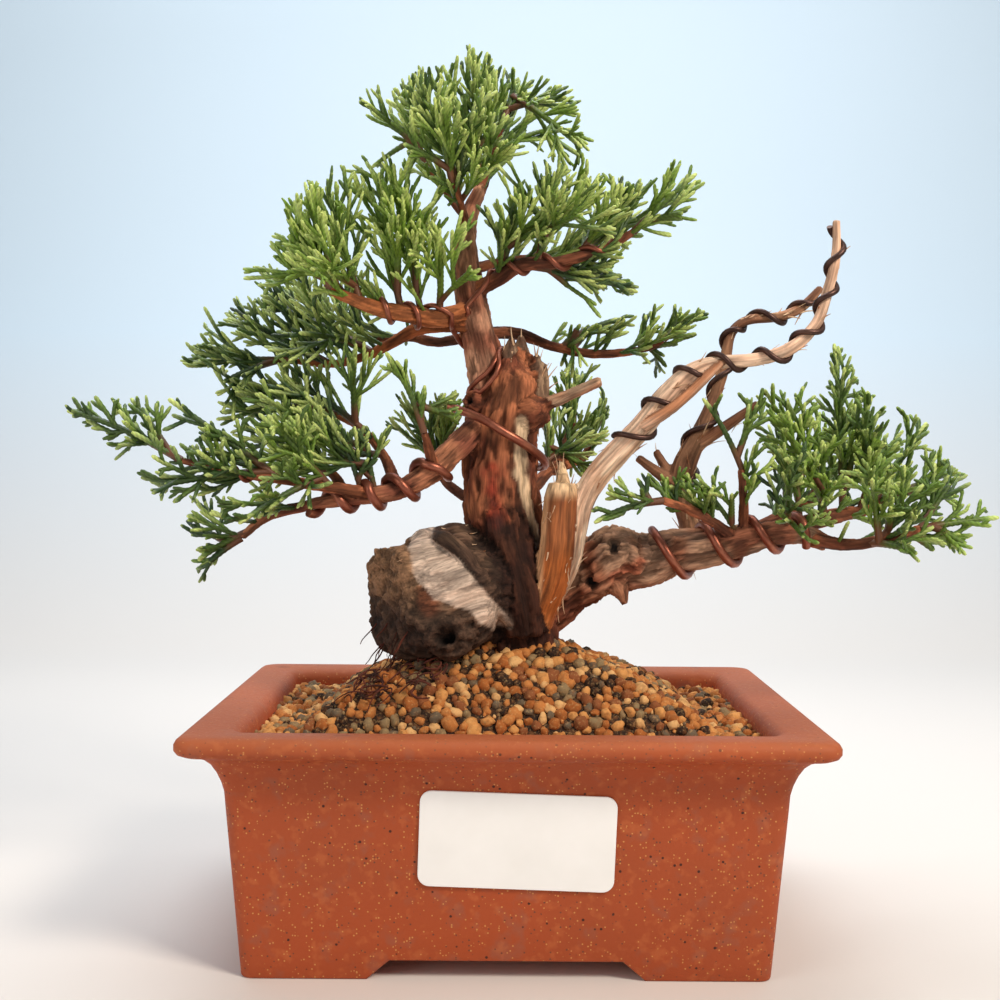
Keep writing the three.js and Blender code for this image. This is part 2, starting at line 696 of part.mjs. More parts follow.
const woodCapsules = [];
for (const limb of limbs.values()) {
  const places = Array.from({ length: 4 * limb.spans + 1 }, (_, k) => k / (4 * limb.spans));
  const most = RIDGED.includes(limb.name) ? RELIEF_MOST : 1;
  const found = capsulesAlong(
    places.map((t) => limb.curve.getPoint(t)),
    places.map((t) => limb.radius(t) * most),
  );
  found.forEach((capsule) => woodCapsules.push({ ...capsule, owner: limb.name }));
}

// The least distance between the middle lines of two capsules.
function lineDistance(one, other) {
  const u = one.b.clone().sub(one.a);
  const v = other.b.clone().sub(other.a);
  const w = one.a.clone().sub(other.a);
  const [uu, uv, vv, uw, vw] = [u.dot(u), u.dot(v), v.dot(v), u.dot(w), v.dot(w)];
  const denominator = uu * vv - uv * uv;
  const clamp = (x) => Math.min(Math.max(x, 0), 1);
  let s = denominator > 1e-9 ? clamp((uv * vw - vv * uw) / denominator) : 0;
  const t = vv > 1e-12 ? clamp((uv * s + vw) / vv) : 0;
  s = uu > 1e-12 ? clamp((uv * t - uw) / uu) : 0;
  return w.addScaledVector(u, s).addScaledVector(v, -t).length();
}

function isClear(capsule, others) {
  const length = capsule.a.distanceTo(capsule.b);
  return others.every((other) => {
    const need = capsule.radius + other.radius + CLEARANCE;
    const far = length + other.a.distanceTo(other.b) + need;
    return capsule.a.distanceTo(other.a) > far || lineDistance(capsule, other) > need;
  });
}

// Wires

const STEPS_PER_TURN = 7;
const ARC_STEPS = 12; // for measuring a wire's length, at each of its points
const PASSES = 12; // of pushing a wire clear
const GROOVE = 0.2; // room round a wire where it crosses wood
const WIRE_SEAT = 0.4; // from a limb's radius to the wire wound round it

// Points of a wire wound round a limb from one place along it to another.
function coil(limbName, from, to, turns, wireRadius, phase) {
  const limb = limbs.get(limbName);
  const steps = Math.round(turns * STEPS_PER_TURN);
  const most = RIDGED.includes(limbName) ? RELIEF_MOST : 1;
  const points = [];
  let across = new THREE.Vector3(0, 0, 1);
  for (let k = 0; k <= steps; k++) {
    const t = from + ((to - from) * k) / steps;
    const tangent = limb.curve.getTangent(t);
    across = across.clone().addScaledVector(tangent, -across.dot(tangent)).normalize();
    const up = tangent.clone().cross(across);
    const angle = phase + (2 * Math.PI * turns * k) / steps;
    const seat = (limb.radius(t) * most + wireRadius + WIRE_SEAT) / Math.cos(Math.PI / STEPS_PER_TURN);
    points.push(
      limb.curve
        .getPoint(t)
        .addScaledVector(across, seat * Math.cos(angle))
        .addScaledVector(up, seat * Math.sin(angle)),
    );
  }
  return points;
}

// Moves each point out of any wood or wire that the new wire would touch.
function pushedClear(points, wireRadius, others) {
  const line = new THREE.Line3();
  const nearest = new THREE.Vector3();
  for (let pass = 0; pass < PASSES; pass++) {
    for (const p of points) {
      for (const other of others) {
        line.set(other.a, other.b).closestPointToPoint(p, true, nearest);
        const need = other.radius + wireRadius + CLEARANCE;
        const gap = p.distanceTo(nearest);
        if (gap < need) p.addScaledVector(p.clone().sub(nearest).normalize(), need - gap);
      }
    }
  }
  return points;
}

function wireBody(path, radius, steps) {
  const sides = radius > 1 ? 5 : 4;
  const corners = Array.from({ length: sides }, (_, k) => (2 * Math.PI * k) / sides);
  const section = new THREE.Shape(
    corners.map((angle) => new THREE.Vector2(radius * Math.cos(angle), radius * Math.sin(angle))),
  );
  return solid(new THREE.ExtrudeGeometry(section, { steps, extrudePath: path, bevelEnabled: false }));
}

// A smooth line through hand-set points, in short steps.
function smooth(points, steps) {
  return new THREE.CatmullRomCurve3(points.map(point), false, "catmullrom", 0.5).getPoints(steps);
}

// Two stretches of a wire with the step between them filled in.
function bridged(before, after, steps) {
  const [from, to] = [before[before.length - 1], after[0]];
  const between = Array.from({ length: steps }, (_, k) => from.clone().lerp(to, (k + 1) / (steps + 1)));
  return [...before, ...between, ...after];
}

// The thick wire's hand-set stretch: its free end, its way across the trunk's front and round behind.
const TRUNK_WRAP = [
  [-17, -6, 149],
  [-8, -11, 145.5],
  [-2, -12.5, 142],
  [4, -11, 138.5],
  [9, -6, 135],
  [10.5, 0, 132.5],
  [7.6, 8, 132],
  [-2, 12.5, 133],
  [-11.6, 8, 135.5],
  [-14.6, 1, 138.5],
];

const WIRES = [
  {
    name: "wire_trunk_to_low_left",
    radius: 1.25,
    route: (r) => bridged(smooth(TRUNK_WRAP, 26), coil("low_left", 0.28, 0.78, 4.2, r, 2.6), 1),
  },
  {
    name: "wire_leader_to_left",
    radius: 0.75,
    route: (r) => bridged(coil("leader", 0.1, 0.34, 0.9, r, 3.2), coil("upper_left", 0.34, 0.7, 2, r, 0), 4),
  },
  {
    name: "wire_leader_to_right",
    radius: 0.75,
    route: (r) => {
      const crown = coil("right_crown", 0.3, 0.9, 2.9, r, 0);
      return bridged(coil("leader", 0.155, 0.455, 1.125, r, 3.2), crown, 4);
    },
  },
  { name: "wire_low_right", radius: 1.25, route: (r) => coil("low_right", 0.5, 0.93, 3.4, r, 0) },
  { name: "wire_jin", radius: 0.8, route: (r) => coil("jin_main", 0.435, 0.99, 8, r, 0) },
  { name: "wire_jin_second", radius: 0.8, route: (r) => coil("jin_second", 0.2, 0.97, 6, r, 0) },
  { name: "wire_left_arm", radius: 0.6, route: (r) => coil("low_left_arm", 0.6, 0.93, 2.4, r, 0) },
];

const wireCapsules = [];
const wires = WIRES.map(({ name, radius, route }) => {
  const points = pushedClear(route(radius), radius, [...woodCapsules, ...wireCapsules]);
  const steps = points.length + 1;
  const path = new THREE.CatmullRomCurve3(points, false, "catmullrom", 0.5);
  path.arcLengthDivisions = ARC_STEPS * points.length;
  wireCapsules.push(...capsulesAlong(path.getSpacedPoints(steps), Array(steps + 1).fill(radius)));
  return { name, path, radius, steps };
});

// The tree with its knot hole and with the grooves that the wires press where limbs meet.
function treeWood() {
  const knotHole = new THREE.IcosahedronGeometry(KNOT_HOLE.radius, 1);
  knotHole.translate(...KNOT_HOLE.centre);
  const grooves = wires.map(({ path, radius, steps }) => wireBody(path, radius + GROOVE, steps));
  return snapped(wood(0).subtract(solid(knotHole)).subtract(joined(grooves)));
}

// Foliage

const UP = new THREE.Vector3(0, 0, 1);
const WHORL = 3; // cords that leave an axis at one place
const ROD_STEPS = 6; // straight steps in which an axis looks for room
const ROD_NEAR = 3; // steps from its root that may pass close to the wood
const SEED = { spray: 7919, axis: 613, draw: 104729, attempt: 17 };
const foliageCapsules = [];

// The tip of one scale-covered cord, which leaves the axis at a slant and leans up a little.
function cordTip(root, outward, tangent, random, ahead, reach) {
  const slant = THREE.MathUtils.degToRad(THREE.MathUtils.lerp(...CORD.slant, random()));
  const swing = THREE.MathUtils.degToRad(CORD.swing) * (2 * random() - 1);
  const most = (ahead + CORD.past) / Math.cos(slant);
  const length = reach * Math.min(THREE.MathUtils.lerp(...CORD.length, random()), most);
  const way = outward.clone().applyAxisAngle(tangent, swing).multiplyScalar(Math.sin(slant));
  way.addScaledVector(tangent, Math.cos(slant)).addScaledVector(UP, CORD.lift).normalize();
  return root.clone().addScaledVector(way, length);
}

// A cord's tip with clear room all the way, or null. The room that it takes is added to the list.
function clearTip(root, outward, tangent, ahead, seed, taken) {
  for (let attempt = 0; attempt < CORD.attempts; attempt++) {
    const random = randomFrom(seed + SEED.attempt * attempt);
    const tip = cordTip(root, outward, tangent, random, ahead, 1 - CORD.shrink * attempt);
    const line = [...CORD.room.map((share) => root.clone().lerp(tip, share)), tip];
    const room = capsulesAlong(line, [CORD.width / 2, CORD.width / 3, 0]);
    if (!room.every((capsule) => isClear(capsule, taken))) continue;
    taken.push(...room);
    return tip;
  }
  return null;
}

// One axis with its cords: a three-sided rod that tapers to a point. At each whorl a short stretch of
// its sides is drawn out into three slanting cords, and the rod turns by half a side between whorls.
function cordedAxis(curve, axis, seed, taken) {
  const length = curve.getLength();
  const whorls = Math.max(2, Math.round(length / CORD.spacing));
  const places = [0];
  for (let k = 0; k < whorls; k++) {
    const middle = length * THREE.MathUtils.lerp(...CORD.between, (k + 0.5) / whorls);
    places.push(middle - CORD.width / 2, middle + CORD.width / 2);
  }
  const points = [];
  let side = Math.abs(curve.getTangentAt(0).z) < 0.9 ? UP.clone() : new THREE.Vector3(1, 0, 0);
  const rows = places.map((place, row) => {
    const middle = curve.getPointAt(place / length);
    const tangent = curve.getTangentAt(place / length);
    side = side.clone().addScaledVector(tangent, -side.dot(tangent)).normalize();
    const radius = THREE.MathUtils.lerp(axis ? SPRAY.side : SPRAY.start, SPRAY.end, place / length);
    const twist = (Math.floor((row + 1) / 2) * Math.PI) / WHORL + SPRAY.turn * axis;
    for (let j = 0; j < WHORL; j++) {
      const way = side.clone().applyAxisAngle(tangent, twist + (2 * Math.PI * j) / WHORL);
      points.push(middle.clone().addScaledVector(way, radius));
    }
    return { middle, tangent };
  });
  const faces = [[0, 2, 1]];
  for (let row = 0; row < rows.length - 1; row++) {
    for (let j = 0; j < WHORL; j++) {
      const [a, b] = [WHORL * row + j, WHORL * row + ((j + 1) % WHORL)];
      const [c, d] = [b + WHORL, a + WHORL];
      const root = points[a].clone().add(points[c]).multiplyScalar(0.5);
      const outward = root.clone().sub(rows[row].middle).cross(rows[row].tangent).normalize();
      outward.crossVectors(rows[row].tangent, outward);
      const ahead = length - places[row];
      const tip = row % 2 ? clearTip(root, outward, rows[row].tangent, ahead, seed + a, taken) : null;
      if (tip) {
        const apex = points.push(tip) - 1;
        faces.push([a, b, apex], [b, c, apex], [c, d, apex], [d, a, apex]);
      } else {
        faces.push([a, b, d], [b, c, d]);
      }
    }
  }
  const end = points.push(curve.getPoint(1)) - 1;
  const top = WHORL * (rows.length - 1);
  for (let j = 0; j < WHORL; j++) faces.push([top + j, top + ((j + 1) % WHORL), end]);
  const geometry = new THREE.BufferGeometry().setFromPoints(points);
  geometry.setIndex(faces.flat());
  return solid(geometry);
}

// The curves of a spray's axes. The first runs from inside the limb to its tip, and each other one
// leaves it a little further out.
function branching(limb, place, tips, swerve) {
  const root = limb.curve.getPoint(place);
  const heading = new THREE.Vector3();
  tips.forEach((tip) => heading.add(point(tip).sub(root).normalize()));
  heading.normalize();
  const axis = (from, tip, sweep) => {
    const end = point(tip);
    const length = end.distanceTo(from);
    const bend = from.clone().lerp(end, SPRAY.bend);
    bend.addScaledVector(heading, sweep * length).addScaledVector(swerve, length);
    return new THREE.QuadraticBezierCurve3(from, bend, end);
  };
  const main = axis(root, tips[0], SPRAY.sweep);
  const bark = limb.radius(place);
  const sides = tips.slice(1).map((tip, k) => {
    const from = main.getPointAt((bark + SPRAY.past + SPRAY.step * k) / main.getLength());
    return axis(from, tip, 0);
  });
  const curves = [main, ...sides];
  const rods = curves.map((curve) =>
    capsulesAlong(curve.getPoints(ROD_STEPS), Array(ROD_STEPS + 1).fill(SPRAY.start)),
  );
  return { root, curves, rods };
}

// The branching as near the wanted place as the wires, the other limbs and the earlier sprays leave
// room. Near its root an axis may pass close to the wood, which the cut at the bark then clears.
function clearBranching(limb, wanted, tips) {
  const placed = [...wireCapsules, ...foliageCapsules];
  const wood = woodCapsules.filter(({ owner }) => owner !== limb.name);
  const hasRoom = (rods) =>
    rods.every((rod) => isClear(rod, placed)) && rods.slice(ROD_NEAR).every((rod) => isClear(rod, wood));
  for (const swerve of SPRAY.swerves) {
    for (const shift of SPRAY.shifts) {
      const place = Math.min(Math.max(wanted + shift, 0), 1);
      const found = branching(limb, place, tips, point(swerve));
      if (found.rods.every(hasRoom)) return found;
    }
  }
  throw new Error("a spray on " + limb.name + " has no room at " + wanted);
}

// A spray of foliage, cut clear of the bark. Where the cut leaves a flaw, its cords are drawn again.
function spray([limbName, wanted, tips], index, fatWood) {
  const { root, curves, rods } = clearBranching(limbs.get(limbName), wanted, tips);
  const reach = Math.max(...tips.map((tip) => point(tip).distanceTo(root))) + CORD.length[1];
  const near = [...woodCapsules, ...wireCapsules, ...foliageCapsules].filter(
    (capsule) => capsule.a.distanceTo(root) < 2 * reach,
  );
  for (let draw = 0; draw < SPRAY.draws; draw++) {
    const cords = [];
    const parts = curves.map((curve, axis) => {
      const others = rods.filter((_, other) => other !== axis).flat();
      const taken = [...near, ...others, ...cords];
      const before = taken.length;
      const seed = SEED.spray * (index + 1) + SEED.axis * axis + SEED.draw * draw;
      const part = cordedAxis(curve, axis, seed, taken);
      cords.push(...taken.slice(before));
      return part;
    });
    const body = snapped(joined(parts).subtract(fatWood));
    if (!body) continue;
    foliageCapsules.push(...rods.flat(), ...cords);
    return body;
  }
  throw new Error("the spray on " + limbName + " has a flaw in every draw");
}

// Materials

function material(color, roughness, metalness = 0) {
  return new THREE.MeshStandardMaterial({ color, roughness, metalness });
}

const CLAY = material(0xb0623a, 0.65);
const PAPER = material(0xf2f1ee, 0.6);
const PLASTIC = material(0x2b2d2c, 0.6);
const GRANULES = material(0xb98248, 0.95);
const BARK = material(0x8a5a44, 0.85);
const COPPER_BROWN = material(0x8f5547, 0.4, 0.8);
const LEAF = material(0x4d7a38, 0.6);

// The whole

const bonsai = new THREE.Group();
bonsai.name = "juniper_bonsai";
bonsai.position.set(-OUTLINE_MIDDLE[0], -OUTLINE_MIDDLE[1], 0);

const fatWood = wood(CLEARANCE);
bonsai.add(mesh("pot", pot(), CLAY));
bonsai.add(mesh("label", label(), PAPER));
bonsai.add(mesh("drain_mesh_left", drainMesh(-1), PLASTIC));
bonsai.add(mesh("drain_mesh_right", drainMesh(1), PLASTIC));
bonsai.add(mesh("soil", soil(fatWood), GRANULES));
bonsai.add(mesh("tree_wood", treeWood(), BARK));
wires.forEach(({ name, path, radius, steps }) =>
  bonsai.add(mesh(name, wireBody(path, radius, steps), COPPER_BROWN)),
);
SPRAYS.forEach((entry, index) => {
  const number = SPRAYS.slice(0, index + 1).filter(([limbName]) => limbName === entry[0]).length;
  bonsai.add(mesh(`spray_${entry[0]}_${number}`, spray(entry, index, fatWood), LEAF));
});

export default bonsai;
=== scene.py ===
# %% [markdown]
# # A juniper bonsai, dressed for the camera
# The tree, its wires and its pot exist already as plain solids of the right size, which the frame
# loads. This lesson gives each of them the surface that the real thing shows: fired clay, loose
# granules, bark, bare split wood, soft aluminium wire and thousands of scale-covered green cords.
# Sizes are written in millimetres, measured from the point on the table under the trunk, as on a
# drawing, with X to the right, Y to the back and Z upwards.

import itertools
import json
import math
from functools import partial

import bmesh
import bpy
import numpy as np
from mathutils import Matrix, Vector

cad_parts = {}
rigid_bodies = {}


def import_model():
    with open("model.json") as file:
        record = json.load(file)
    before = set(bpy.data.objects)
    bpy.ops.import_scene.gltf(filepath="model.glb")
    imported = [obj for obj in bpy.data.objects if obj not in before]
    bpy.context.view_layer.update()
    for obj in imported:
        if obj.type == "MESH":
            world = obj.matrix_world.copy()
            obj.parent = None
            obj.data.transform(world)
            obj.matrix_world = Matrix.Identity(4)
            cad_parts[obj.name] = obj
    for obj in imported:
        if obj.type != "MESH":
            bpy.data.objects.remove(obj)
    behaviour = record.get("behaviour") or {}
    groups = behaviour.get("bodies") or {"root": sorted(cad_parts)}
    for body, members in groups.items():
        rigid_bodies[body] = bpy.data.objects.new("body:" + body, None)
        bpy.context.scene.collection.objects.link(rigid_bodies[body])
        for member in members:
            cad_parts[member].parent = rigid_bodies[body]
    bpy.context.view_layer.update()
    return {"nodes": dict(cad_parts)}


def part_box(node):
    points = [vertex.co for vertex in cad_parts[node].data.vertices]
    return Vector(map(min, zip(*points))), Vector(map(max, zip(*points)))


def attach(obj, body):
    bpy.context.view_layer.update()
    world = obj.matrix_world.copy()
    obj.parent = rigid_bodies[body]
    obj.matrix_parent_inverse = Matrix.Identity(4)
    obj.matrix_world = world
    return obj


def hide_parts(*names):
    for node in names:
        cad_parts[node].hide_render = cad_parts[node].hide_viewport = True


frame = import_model()
print("nodes in the frame:", len(frame["nodes"]))

# %% [markdown]
# ## Small helpers
# Every piece is made from arrays of points, so the helpers come first. They change millimetres on
# the drawing to metres in the frame, turn a hex colour, as a paint chart gives it, into the linear
# numbers that shading needs, add nodes to a tree and make meshes with their attributes.

# %% From the drawing to the frame
MM = 0.001
POT_BACK = 2.5  # how far the pot's middle lies behind the trunk
POT_LOW, POT_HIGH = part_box("pot")
TRUNK_FOOT = np.array([(POT_LOW.x + POT_HIGH.x) / 2, (POT_LOW.y + POT_HIGH.y) / 2 - POT_BACK * MM, 0])


def in_frame(points):
    """Points of the drawing, in millimetres, as places in the frame, in metres."""
    return np.asarray(points, float) * MM + TRUNK_FOOT


def linear(hex_colour):
    """An sRGB hex colour as linear red, green, blue and 1 for opaque."""
    shares = [int(hex_colour[i : i + 2], 16) / 255 for i in (1, 3, 5)]
    return [c / 12.92 if c <= 0.04045 else ((c + 0.055) / 1.055) ** 2.4 for c in shares] + [1.0]


# %% Nodes
def feed(tree, node, links):
    """Gives inputs, by name or number, a value or what feeds them: an output of another node, or a
    node for its first output."""
    for key, value in links.items():
        named = [s for s in node.inputs if s.name == key and s.enabled]
        socket = named[0] if named else node.inputs[key]
        if isinstance(value, bpy.types.Node):
            value = value.outputs[0]
        if isinstance(value, bpy.types.NodeSocket):
            tree.links.new(value, socket)
        else:
            socket.default_value = value


def add_node(tree, kind, links=None, **settings):
    """Adds a node with its settings and with what feeds it."""
    made = tree.nodes.new(kind)
    for name, value in settings.items():
        setattr(made, name, value)
    feed(tree, made, links or {})
    return made


def new_material(name, **sockets):
    """A named material with its plain shader sockets set, and its tree and shader."""
    made = bpy.data.materials.new(name)
    made.use_nodes = True
    shader = made.node_tree.nodes["Principled BSDF"]
    for key, value in sockets.items():
        shader.inputs[key.replace("_", " ")].default_value = value
    return made, made.node_tree, shader


# %% Meshes with attributes
def mesh_object(name, points, faces, edges=(), numbers=None):
    """A mesh object from points in millimetres, with these numbers for each point."""
    mesh = bpy.data.meshes.new(name)
    mesh.from_pydata(in_frame(points).tolist(), edges, faces)
    for key, values in (numbers or {}).items():
        mesh.attributes.new(key, "FLOAT", "POINT").data.foreach_set("value", np.asarray(values, np.float32))
    made = bpy.data.objects.new(name, mesh)
    bpy.context.scene.collection.objects.link(made)
    return made


def chain(line, first=0):
    """The edges along a line whose points are numbered from the first one on."""
    return [(first + k, first + k + 1) for k in range(len(line) - 1)]


def apply_tree(piece, tree, **inputs):
    """Runs a Geometry Nodes tree on a piece with these named inputs and keeps the plain mesh."""
    modifier = piece.modifiers.new("shape", "NODES")
    modifier.node_group = tree
    for item in tree.interface.items_tree:
        if item.in_out == "INPUT" and item.name in inputs:
            modifier[item.identifier] = inputs[item.name]
    return apply_modifiers(piece)


def apply_modifiers(piece):
    """Turns a piece with its modifiers into the plain mesh that they give."""
    shaped = piece.evaluated_get(bpy.context.evaluated_depsgraph_get())
    mesh = bpy.data.meshes.new_from_object(shaped)
    piece.modifiers.clear()
    old = piece.data
    piece.data = mesh
    bpy.data.meshes.remove(old)
    mesh.name = piece.name
    return piece


def new_tree(name, **sockets):
    """An empty Geometry Nodes tree with a geometry input and output and these named inputs."""
    tree = bpy.data.node_groups.new(name, "GeometryNodeTree")
    tree.interface.new_socket("Geometry", in_out="INPUT", socket_type="NodeSocketGeometry")
    tree.interface.new_socket("Geometry", in_out="OUTPUT", socket_type="NodeSocketGeometry")
    for label, kind in sockets.items():
        tree.interface.new_socket(label.replace("_", " "), in_out="INPUT", socket_type="NodeSocket" + kind)
    return tree, tree.nodes.new("NodeGroupInput"), tree.nodes.new("NodeGroupOutput")


# %% Put a finished piece in place
TRIANGLES = {}


def finish_piece(piece, slot, *nodes, material=None, smooth=True):
    """Gives the piece its material, lets it ride with the object and stand for its plain solids."""
    if material:
        piece.data.materials.clear()
        piece.data.materials.append(material)
    piece.data.polygons.foreach_set("use_smooth", [smooth] * len(piece.data.polygons))
    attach(piece, "root")
    if nodes:
        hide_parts(*nodes)
    TRIANGLES[piece.name] = sum(len(p.vertices) - 2 for p in piece.data.polygons)
    return piece


# %% [markdown]
# ## Smooth random numbers
# Bark, clay and soil are irregular at several sizes at once. Value noise gives a random number to
# each corner of a lattice and blends between them, so the lattice's cell is the size of the lumps.


# %% Value noise
def value_noise(points, cell, seed):
    """Random numbers from 0 to 1 that change smoothly over a distance of one cell."""
    place = np.asarray(points, float) / cell
    corner = np.floor(place).astype(np.int64)
    part = place - corner
    part = part * part * (3 - 2 * part)
    total = np.zeros(len(place))
    for step in itertools.product((0, 1), repeat=3):
        at = corner + np.array(step)
        mixed = (at[:, 0] * 73856093) ^ (at[:, 1] * 19349663) ^ (at[:, 2] * 83492791) ^ (seed * 7919)
        mixed = ((mixed ^ (mixed >> 13)) * 1274126177) & 0xFFFFFFFF
        share = ((mixed ^ (mixed >> 16)) & 0xFFFF) / 65535
        total += share * np.prod(np.where(step, part, 1 - part), axis=1)
    return total


def blend(low, high, values):
    """0 below low, 1 above high and a smooth step between, also with low above high."""
    share = np.clip((np.asarray(values, float) - low) / (high - low), 0, 1)
    return share * share * (3 - 2 * share)


# %% [markdown]
# ## Camera, floor and light
# The photograph was taken from about 38 cm, level with the trunk, with a lens of about 47 mm on a
# full-frame camera. The light is soft: the strongest lamp stands high in front on the right, a weak
# one on the left fills the shadows, one hangs over the tree and one lights the backdrop. A pale
# sheet that runs from the floor up behind the tree gives the plain background.

# %% Camera
CAMERA_PLACE = (-2.4, -377.2, 131.7)
CAMERA_DOWN = math.radians(1.43)
CAMERA_ROLL = math.radians(0.41)
LENS = 46.8

lens = bpy.data.cameras.new("camera")
lens.lens = LENS
lens.sensor_width = 36
camera = bpy.data.objects.new("camera", lens)
bpy.context.scene.collection.objects.link(camera)
camera.matrix_world = (
    Matrix.Translation(in_frame(CAMERA_PLACE))
    @ Matrix.Rotation(math.pi / 2 - CAMERA_DOWN, 4, "X")
    @ Matrix.Rotation(CAMERA_ROLL, 4, "Z")
)
bpy.context.scene.camera = camera

# %% Floor and backdrop
SHEET_HALF = 1300
SHEET_BACK = 900
SHEET_BEND = 420
SHEET_TOP = 1500


def backdrop():
    """A sheet that lies flat, curves up behind the tree and rises."""
    profile = [(-SHEET_BACK * 2, 0.0)]
    for angle in np.linspace(0, math.pi / 2, 25):
        y = SHEET_BACK - SHEET_BEND + SHEET_BEND * math.sin(angle)
        profile.append((y, SHEET_BEND - SHEET_BEND * math.cos(angle)))
    profile.append((SHEET_BACK, SHEET_TOP))
    points = [(side * SHEET_HALF, y, z) for y, z in profile for side in (-1, 1)]
    faces = [(2 * k, 2 * k + 1, 2 * k + 3, 2 * k + 2) for k in range(len(profile) - 1)]
    return mesh_object("backdrop", points, faces)


paper_sheet, tree, shader = new_material("seamless_paper", Roughness=0.9, Specular_IOR_Level=0.2)
where = add_node(tree, "ShaderNodeTexCoord").outputs["Object"]
height = add_node(tree, "ShaderNodeSeparateXYZ", {0: where}).outputs["Z"]
low_share = add_node(tree, "ShaderNodeMapRange", {"Value": height, "From Min": 0.005, "From Max": 0.26})
from_low_to_high = {0: low_share, 6: linear("#E2DDD8"), 7: linear("#DAECF9")}
sky = add_node(tree, "ShaderNodeMix", from_low_to_high, data_type="RGBA")
feed(tree, shader, {"Base Color": sky.outputs[2]})
sheet = backdrop()
sheet.data.materials.append(paper_sheet)
sheet.data.polygons.foreach_set("use_smooth", [True] * len(sheet.data.polygons))


# %% Light
def area_light(name, place, target, size, watts, colour):
    """A square soft light that faces the target."""
    lamp = bpy.data.lights.new(name, "AREA")
    lamp.size = size * MM
    lamp.energy = watts
    lamp.color = linear(colour)[:3]
    made = bpy.data.objects.new(name, lamp)
    bpy.context.scene.collection.objects.link(made)
    start, end = in_frame(place), in_frame(target)
    toward = Matrix.Identity(4)
    back = (start - end) / np.linalg.norm(start - end)
    right = np.cross([0, 0, 1], back)
    right /= np.linalg.norm(right)
    up = np.cross(back, right)
    for row in range(3):
        toward[row][0], toward[row][1], toward[row][2] = right[row], up[row], back[row]
        toward[row][3] = start[row]
    made.matrix_world = toward


area_light("key_light", (470, -470, 620), (0, 0, 120), 220, 5.8, "#FFF2E2")
area_light("fill_light", (-560, -440, 300), (0, 0, 120), 460, 1.5, "#FFF6EE")
area_light("top_light", (-60, 160, 760), (0, 0, 120), 420, 2.8, "#FAFBFF")
area_light("sheet_light", (0, 380, 760), (0, 900, 260), 900, 3.4, "#F8FBFF")

world = bpy.data.worlds.new("studio")
world.use_nodes = True
world.node_tree.nodes["Background"].inputs["Color"].default_value = linear("#E4EEF7")
world.node_tree.nodes["Background"].inputs["Strength"].default_value = 0.3
bpy.context.scene.world = world
bpy.context.scene.view_settings.view_transform = "Standard"
print("camera, floor and four lights")

# %% [markdown]
# ## The pot
# The pot is unglazed stoneware, pressed in a mould and fired to a warm brick brown. Its walls lean
# outwards to a rolled rim, and a cut-out under each side leaves a foot at each corner. One row of
# numbers a ring, the inset from the rim's edge, the height and the corner's radius, describes the
# whole section, so a loft through rings makes it, and a Boolean takes the cut-outs and drain holes.

# %% The pot's section
RIM_HALF = (83, 63.5)
WALL_FOOT = 14.4
WALL_INSET = 10.6
WALL_TOP = 48.6
POT_OUTSIDE = [
    (WALL_FOOT, 0, 3.5), (14.0, 5, 3.5), (12.5, 24.3, 3.8), (11.0, 43, 4), (WALL_INSET, WALL_TOP, 4),
    (9.9, 51.4, 4.1), (8.9, 54.0, 4.2), (7.6, 56.3, 4.4), (5.9, 58.0, 4.6), (3.9, 58.9, 4.7),
    (1.9, 59.4, 4.9), (0.6, 60.1, 5), (0.0, 61.2, 5), (0.0, 62.6, 5), (0.5, 63.6, 5), (1.5, 64.25, 4.9),
    (3.0, 64.5, 4.7),
]
POT_INSIDE = [
    (11.0, 64.2, 6), (12.2, 63.8, 5.8), (13.3, 62.9, 5.5), (14.1, 61.2, 5), (14.6, 57, 4.8),
    (15.6, 50, 4.5), (19.5, 11, 3.5),
]
FLOOR_UNDER = 5
WORN_EDGE = 0.7
FOOT_GAPS = {"front": (36, 30), "side": (26, 21)}
DRAIN_RADIUS = 6.5
DRAIN_OFFSET = 36


def round_rectangle(half_x, half_y, radius, steps=8):
    """Points round a rectangle with round corners."""
    ring = []
    for quarter, (sx, sy) in enumerate([(1, 1), (-1, 1), (-1, -1), (1, -1)]):
        x, y = sx * (half_x - radius), sy * (half_y - radius)
        for k in range(steps + 1):
            angle = (quarter + k / steps) * math.pi / 2
            ring.append((x + radius * math.cos(angle), y + radius * math.sin(angle)))
    return ring


def corner_ring(inset, height, radius, steps=8, share=1.0):
    """A level ring, inset from the rim's edge and shrunk to this share."""
    outline = round_rectangle(RIM_HALF[0] - inset, RIM_HALF[1] - inset, radius, steps)
    return [(share * x, share * y + POT_BACK, height) for x, y in outline]


def loft(rings):
    """Faces through rings of equal length, with the first and the last ring closed."""
    count = len(rings[0])
    faces = [tuple(reversed(range(count))), tuple(range((len(rings) - 1) * count, len(rings) * count))]
    for row in range(len(rings) - 1):
        for k in range(count):
            a, b = row * count + k, row * count + (k + 1) % count
            faces.append((a, b, b + count, a + count))
    return [p for ring in rings for p in ring], faces


# %% The pot's body
def prism(name, section, length, turned):
    """A bar of this section, in height and width, that runs right through the pot."""
    points = []
    for end in (-length, length):
        for across, height in section:
            points.append((end, across + POT_BACK, height) if turned else (across, end, height))
    count = len(section)
    faces = [tuple(range(count)), tuple(range(2 * count - 1, count - 1, -1))]
    for k in range(count):
        after = (k + 1) % count
        faces.append((k, k + count, after + count, after))
    return cleaned(mesh_object(name, points, faces))


def cleaned(piece):
    """Turns all faces outwards."""
    shell = bmesh.new()
    shell.from_mesh(piece.data)
    bmesh.ops.remove_doubles(shell, verts=shell.verts, dist=1e-7)
    bmesh.ops.recalc_face_normals(shell, faces=shell.faces)
    shell.to_mesh(piece.data)
    shell.free()
    return piece


